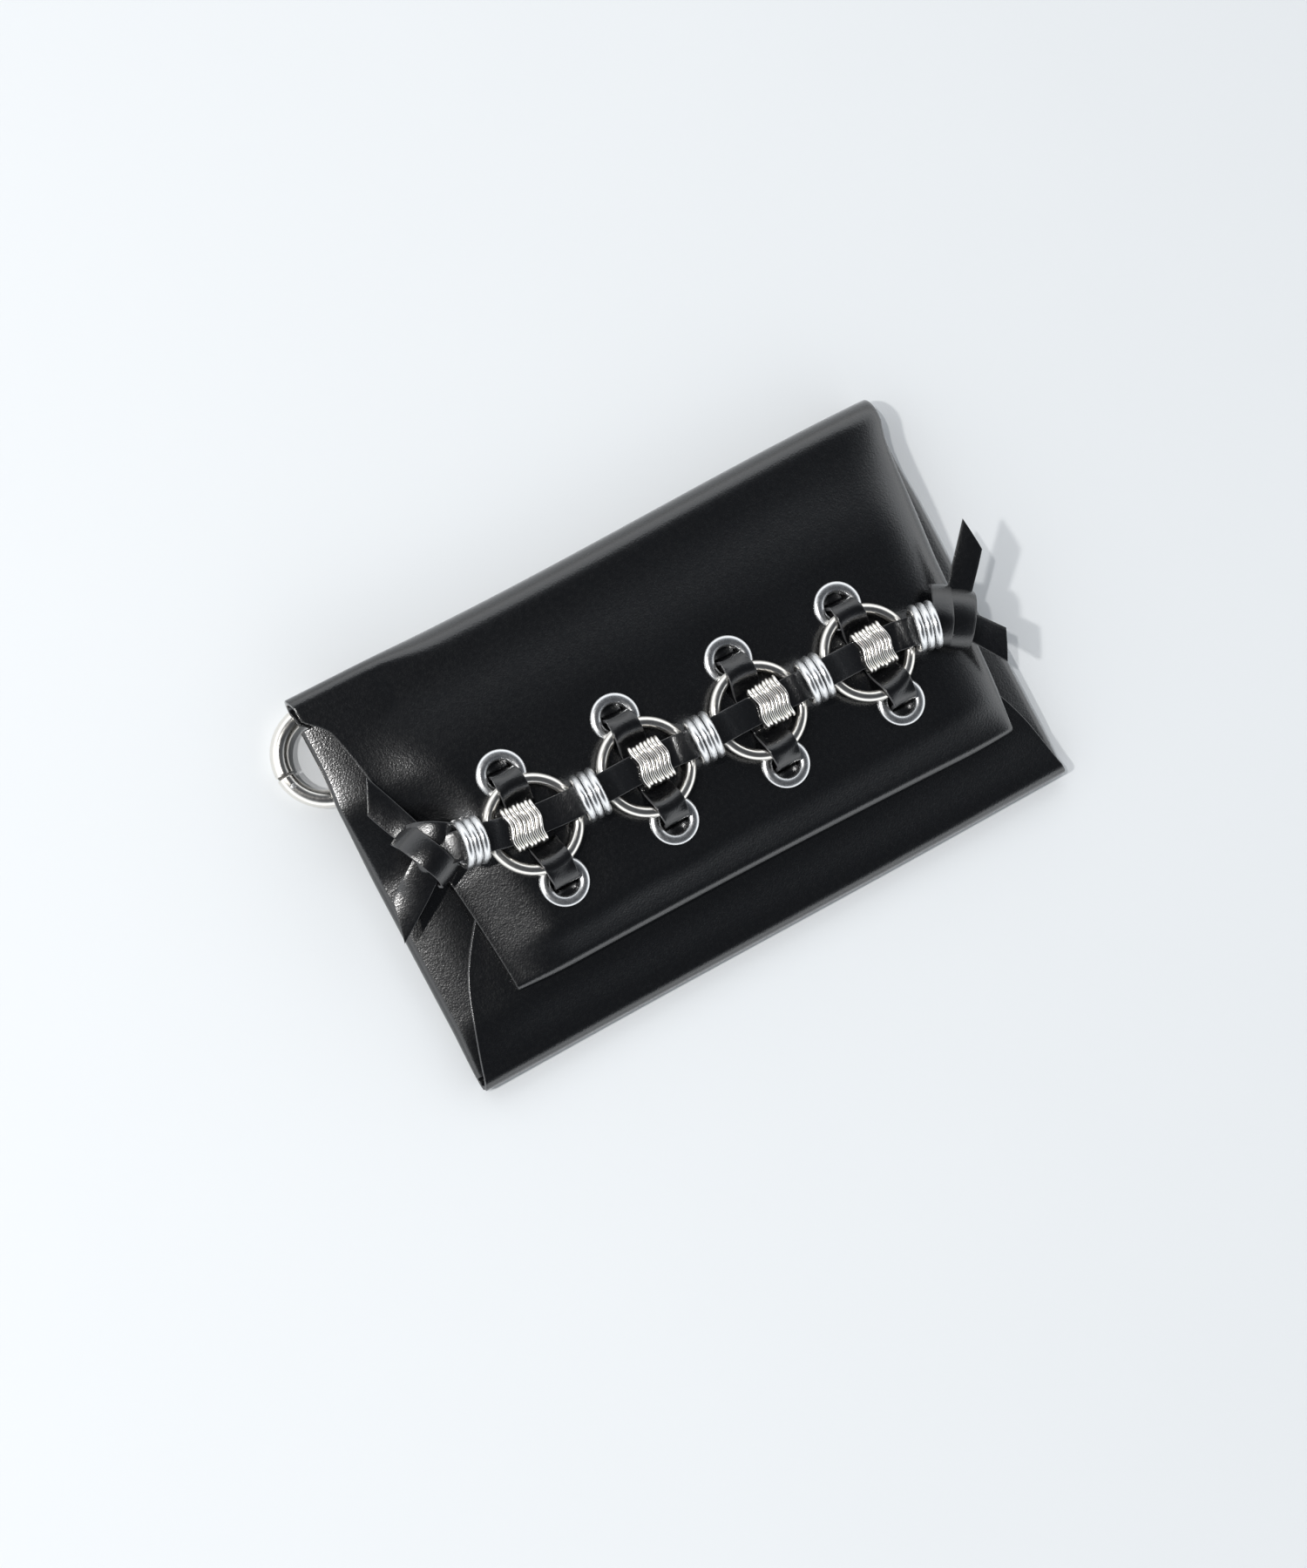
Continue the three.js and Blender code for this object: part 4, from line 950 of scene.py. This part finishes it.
def arc_wire(a0, a1, n, sides=40, bevel=0.25):
    """A stretch of the ring's wire with rounded shoulders at both ends."""
    a = np.radians(np.linspace(a0, a1, n))
    db = math.degrees(bevel / CR)
    ends0 = np.radians([a0, a0 + db * 0.3, a0 + db])
    ends1 = np.radians([a1 - db, a1 - db * 0.3, a1])
    inner = a[(a > ends0[-1] + 0.01) & (a < ends1[0] - 0.01)]
    al = np.concatenate([ends0, inner, ends1])
    rad = np.full(len(al), WIRE, float)
    rad[0] = rad[-1] = WIRE - bevel
    rad[1] = rad[-2] = WIRE - bevel * 0.3
    path = np.stack([CR * np.cos(al), CR * np.sin(al), 0 * al], 1)
    tan = np.stack([-np.sin(al), np.cos(al), 0 * al], 1)
    rad_dir = np.stack([np.cos(al), np.sin(al), 0 * al], 1)
    ang = 2 * math.pi * np.arange(sides) / sides
    v = path[:, None] + rad[:, None, None] * (rad_dir[:, None] * np.cos(ang)[None, :, None] + np.array([0, 0, 1.0]) * np.sin(ang)[None, :, None])
    faces = []
    for i in range(len(al) - 1):
        for k in range(sides):
            q = (k + 1) % sides
            faces.append([i * sides + k, i * sides + q, (i + 1) * sides + q, (i + 1) * sides + k])
    v = v.reshape(-1, 3)
    c = v[faces[0]].mean(0) - path[0]
    nn = np.cross(v[faces[0][1]] - v[faces[0][0]], v[faces[0][2]] - v[faces[0][0]])
    if nn @ c < 0:
        faces = [fc[::-1] for fc in faces]
    first, last = list(range(sides)), list(range((len(al) - 1) * sides, len(al) * sides))
    fn = np.cross(v[first[1]] - v[first[0]], v[first[2]] - v[first[0]])
    faces.append(first if fn @ tan[0] < 0 else first[::-1])
    ln = np.cross(v[last[1]] - v[last[0]], v[last[2]] - v[last[0]])
    faces.append(last if ln @ tan[-1] > 0 else last[::-1])
    return v, faces, [0] * len(faces)


def prism(points, z0, z1):
    n = len(points)
    v = [(x, y, z0) for x, y in points] + [(x, y, z1) for x, y in points]
    area = sum(points[k][0] * points[(k + 1) % n][1] - points[(k + 1) % n][0] * points[k][1] for k in range(n))
    order = list(range(n)) if area > 0 else list(range(n))[::-1]
    faces = [order[::-1], [k + n for k in order]]
    for q in range(n):
        a, b = order[q], order[(q + 1) % n]
        faces.append([a, b, b + n, a + n])
    return np.array(v, float), faces, [0] * len(faces)


def boolean(obj, tool, kind):
    m = obj.modifiers.new("b", "BOOLEAN")
    m.operation, m.object, m.solver = kind, tool, "EXACT"
    dg = bpy.context.evaluated_depsgraph_get()
    me = bpy.data.meshes.new_from_object(obj.evaluated_get(dg))
    obj.modifiers.clear()
    old = obj.data
    obj.data = me
    bpy.data.meshes.remove(old)
    tm = tool.data
    bpy.data.objects.remove(tool)
    bpy.data.meshes.remove(tm)


def polar(r, a):
    return (r * math.cos(math.radians(a)), r * math.sin(math.radians(a)))


def disc_points(cx, cy, r, n=40):
    return [(cx + r * math.cos(2 * math.pi * k / n), cy + r * math.sin(2 * math.pi * k / n)) for k in range(n)]


H = polar(CR, PIN)
band_points = [polar(CR + 1.95, a) for a in np.linspace(PIN - 22, PIN + 36, 24)] + [polar(8.4, a) for a in np.linspace(PIN + 36, PIN - 22, 24)]
v, f, s = arc_wire(184.0, 456.2, 150)
ring_body = new_object("ring_wire_body", v, f, [NICKEL])
boolean(ring_body, new_object("t1", *prism(band_points, -1.15, 1.15)[:2], [NICKEL]), "DIFFERENCE")
boolean(ring_body, new_object("t2", *prism(disc_points(*H, 0.8), -4, 4)[:2], [NICKEL]), "DIFFERENCE")
v, f, s = arc_wire(97.8, 181.1, 60)
ring_gate = new_object("ring_wire_gate", v, f, [NICKEL])
tangent = (math.sin(math.radians(PIN)), -math.cos(math.radians(PIN)))
outw = (math.cos(math.radians(PIN)), math.sin(math.radians(PIN)))
along = lambda p, d, q: (p[0] + d[0] * q, p[1] + d[1] * q)
lug = [along(along(H, outw, 1.6), tangent, 0), along(along(H, outw, 1.3), tangent, 5.2), along(along(H, outw, -1.9), tangent, 6.2), along(along(H, outw, -1.6), tangent, 0)]
arc_pts = [along(along(H, outw, 1.6 * math.cos(t)), tangent, -1.6 * math.sin(t)) for t in np.linspace(0, math.pi, 20)]
boolean(ring_gate, new_object("t3", *prism([lug[1], lug[2]] + [arc_pts[k] for k in range(len(arc_pts) - 1, -1, -1)], -0.85, 0.85)[:2], [NICKEL]), "UNION")
boolean(ring_gate, new_object("t4", *prism(disc_points(*H, 0.8), -4, 4)[:2], [NICKEL]), "DIFFERENCE")
pin_profile = rounded([[0, -2.32], [0.75, -2.32], [0.75, 2.32], [0, 2.32]], 0.2)
v, f, s = lathe(pin_profile, 32)
gate_pin = new_object("ring_pin", turned(v, (*H, 0)), f, [SATIN])
for o in (ring_body, ring_gate, gate_pin):
    co = np.zeros(len(o.data.vertices) * 3)
    o.data.vertices.foreach_get("co", co)
    co = clip(co.reshape(-1, 3) / MM) * MM
    o.data.vertices.foreach_set("co", co.ravel())
    o.data.polygons.foreach_set("use_smooth", np.ones(len(o.data.polygons), bool))
    o.data.update()
    o.data.set_sharp_from_angle(angle=math.radians(35))
    if not o.data.materials:
        o.data.materials.append(NICKEL)

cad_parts["gate_spring"].data.materials.clear()
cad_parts["gate_spring"].data.materials.append(SATIN)

# leather loop that holds the ring, through the two slits of the back panel
x0, x1, z0, z1, r = -79.2, -72.0, 0.62, 9.15, 1.3
path = []
for cx_, cz_, a0 in ((x1 - r, z0 + r, -90), (x1 - r, z1 - r, 0), (x0 + r, z1 - r, 90), (x0 + r, z0 + r, 180)):
    for a in np.linspace(a0, a0 + 90, 8):
        path.append((cx_ + r * math.cos(math.radians(a)), cz_ + r * math.sin(math.radians(a))))
path = np.array(path + [path[0]])
path = respaced(path, 97)[:-1]
ys = np.linspace(37.4, 43.0, 8)
mid = np.array([[(px, y, pz) for y in ys] for px, pz in path])
loop_tab = sheet_object("loop_tab_leather", mid, 0.95, [LEATHER, EDGE], bevel=0.18, closed=True)

# ------------------------------------------------------------------ what each piece rides on
bpy.context.view_layer.update()
for o, nodes, body_name, slot in (
    (body, ("back_panel", "left_wing", "right_wing"), "wallet", "black_leather"),
    (front, ("front_panel",), "wallet", "black_leather"),
    (pocket_obj, ("card_pocket",), "wallet", "lining_leather"),
    (snap_socket, ("snap_socket",), "wallet", "nickel"),
    (loop_tab, ("ring_loop_tab",), "wallet", "black_leather"),
    (lining, ("flap_lining",), "flap", "lining_leather"),
    (snap_stud, ("snap_stud",), "flap", "nickel"),
    (snap_washer, ("snap_stud_washer",), "flap", "satin_steel"),
    (left_knot, ("left_knot",), "flap", "lace_leather"),
    (right_knot, ("right_knot",), "flap", "lace_leather"),
    (ring_body, ("ring_body",), "clip_ring", "nickel"),
    (gate_pin, ("gate_pin",), "clip_ring", "satin_steel"),
    (ring_gate, ("ring_gate",), "clip_gate", "nickel"),
):
    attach(o, body_name)
    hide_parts(*nodes)
for o, node in eyelets:
    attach(o, "flap")
    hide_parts(node)
for o, node in strip_objects + lace_objects:
    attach(o, "flap")
    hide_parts(node)
for o, body_name, node in ring_objects + cuff_objects:
    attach(o, body_name)
    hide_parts(node)
for o, body_name, node in jump_objects:
    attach(o, body_name)
    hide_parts(node)

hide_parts("flap_fold", "flap_outer")
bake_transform(flap)
# each point of the fold gets a weight from its angle round the fold, from its back end to its flap end, whatever its
# height at the lifted corner
co = np.zeros(len(flap.data.vertices) * 3)
flap.data.vertices.foreach_get("co", co)
co = co.reshape(-1, 3) / MM
xf = np.clip((co[:, 0] + 90.4) / 179.0, 0, 1)
zb_ = 0.65 + lift(lerp(-90.4, 88.6, xf), 50.0)
zt_ = outer_top(lerp(flap_left(49.5), flap_right(49.5), xf), np.full_like(xf, 49.5)) - 0.65
rr_ = (zt_ - zb_) / 2
cyy = 56.5 - 0.65 - rr_
ang_ = np.degrees(np.arctan2(co[:, 2] - (zb_ + zt_) / 2, np.maximum(co[:, 1] - cyy, 1e-3)))
w = np.clip((ang_ + 90) / 180, 0, 1)
# where a point lies farther from the hinge line than the fold's hinge height the weight is lowered, less so at the
# lifted corner
reach = np.hypot(co[:, 1] - 49.5, co[:, 2] - 5.5)
w = w - np.degrees(np.arccos(np.clip(4.75 / np.maximum(reach, 4.75), 0, 1))) / 178 * np.sqrt(np.sin(math.pi * w)) * (1 - np.clip(lift(co[:, 0], 50.0) / 6.8, 0, 1))
w[(co[:, 1] < cyy) & (co[:, 2] > (zb_ + zt_) / 2)] = 1.0
w[(co[:, 1] < cyy) & (co[:, 2] <= (zb_ + zt_) / 2)] = 0.0
w[co[:, 1] < 46.5] = 1.0

# ------------------------------------------------------------------ floor, light, camera
me = bpy.data.meshes.new("floor")
me.from_pydata([(-6, -6, -0.0002), (6, -6, -0.0002), (6, 6, -0.0002), (-6, 6, -0.0002)], [], [(0, 1, 2, 3)])
FLOOR, _nt, _b = material("pale_floor", (0.775, 0.795, 0.81), rough=0.9, spec=0.1)
_v = coords(_nt)
_nt.links.new(mix_colour(_nt, noise(_nt, _v, 14.0, 2.0, 0.5), (0.77, 0.79, 0.805), (0.78, 0.8, 0.815)), _b.inputs["Base Color"])
me.materials.append(FLOOR)
floor = bpy.data.objects.new("floor", me)
bpy.context.scene.collection.objects.link(floor)

world = bpy.data.worlds.new("studio")
bpy.context.scene.world = world
world.use_nodes = True
nt = world.node_tree
bg = nt.nodes["Background"]
tc = nt.nodes.new("ShaderNodeTexCoord")
dot = nt.nodes.new("ShaderNodeVectorMath")
dot.operation = "DOT_PRODUCT"
nt.links.new(tc.outputs["Generated"], dot.inputs[0])
dot.inputs[1].default_value = Vector((-0.01, -0.15, 1.0)).normalized()
cr = nt.nodes.new("ShaderNodeValToRGB")
nt.links.new(dot.outputs["Value"], cr.inputs["Fac"])
el = cr.color_ramp
el.interpolation = "EASE"
el.elements[0].position, el.elements[0].color = 0.0, (0.62, 0.63, 0.64, 1)
el.elements[1].position, el.elements[1].color = 0.95, (0.032, 0.035, 0.04, 1)
e = el.elements.new(0.2)
e.color = (0.96, 0.98, 1.0, 1)
e = el.elements.new(0.54)
e.color = (0.82, 0.85, 0.88, 1)
e = el.elements.new(0.78)
e.color = (0.08, 0.087, 0.097, 1)
nt.links.new(cr.outputs["Color"], bg.inputs["Color"])
bg.inputs["Strength"].default_value = 1.52


def area(name, direction, distance, size, power, colour, target=(0, 0, 0.01)):
    d = Vector(direction).normalized()
    light = bpy.data.lights.new(name, "AREA")
    light.shape = "RECTANGLE"
    light.size, light.size_y = size
    light.energy = power
    light.color = colour
    o = bpy.data.objects.new(name, light)
    o.location = Vector(target) + d * distance
    o.rotation_mode = "QUATERNION"
    o.rotation_quaternion = d.to_track_quat("Z", "Y")
    bpy.context.scene.collection.objects.link(o)
    return o


area("key", (-0.615, 0.178, 0.769), 1.7, (0.08, 0.08), 10.5, (1.0, 0.985, 0.965))
area("second", (-0.39, 0.19, 0.90), 1.8, (0.05, 0.05), 8.0, (1.0, 0.99, 0.98))

cam = bpy.data.cameras.new("camera")
cam.lens, cam.sensor_width, cam.sensor_fit = 58.52, 36.0, "AUTO"
cam.clip_start, cam.clip_end = 0.01, 20.0
cam_obj = bpy.data.objects.new("camera", cam)
right_v, up_v, view_v = Vector((0.8584, -0.4663, 0.2141)), Vector((0.4582, 0.8844, 0.0891)), Vector((0.2309, -0.0216, -0.9727))
view_v.normalize()
right_v = (right_v - view_v * right_v.dot(view_v)).normalized()
up_v = right_v.cross(view_v)
rot = Matrix((right_v, up_v, -view_v)).transposed()
cam_obj.matrix_world = Matrix.Translation(Vector((-0.1698, 0.0079, 0.6610))) @ rot.to_4x4()
bpy.context.scene.collection.objects.link(cam_obj)
bpy.context.scene.camera = cam_obj
bpy.context.scene.view_settings.view_transform = "Standard"

bpy.context.view_layer.update()
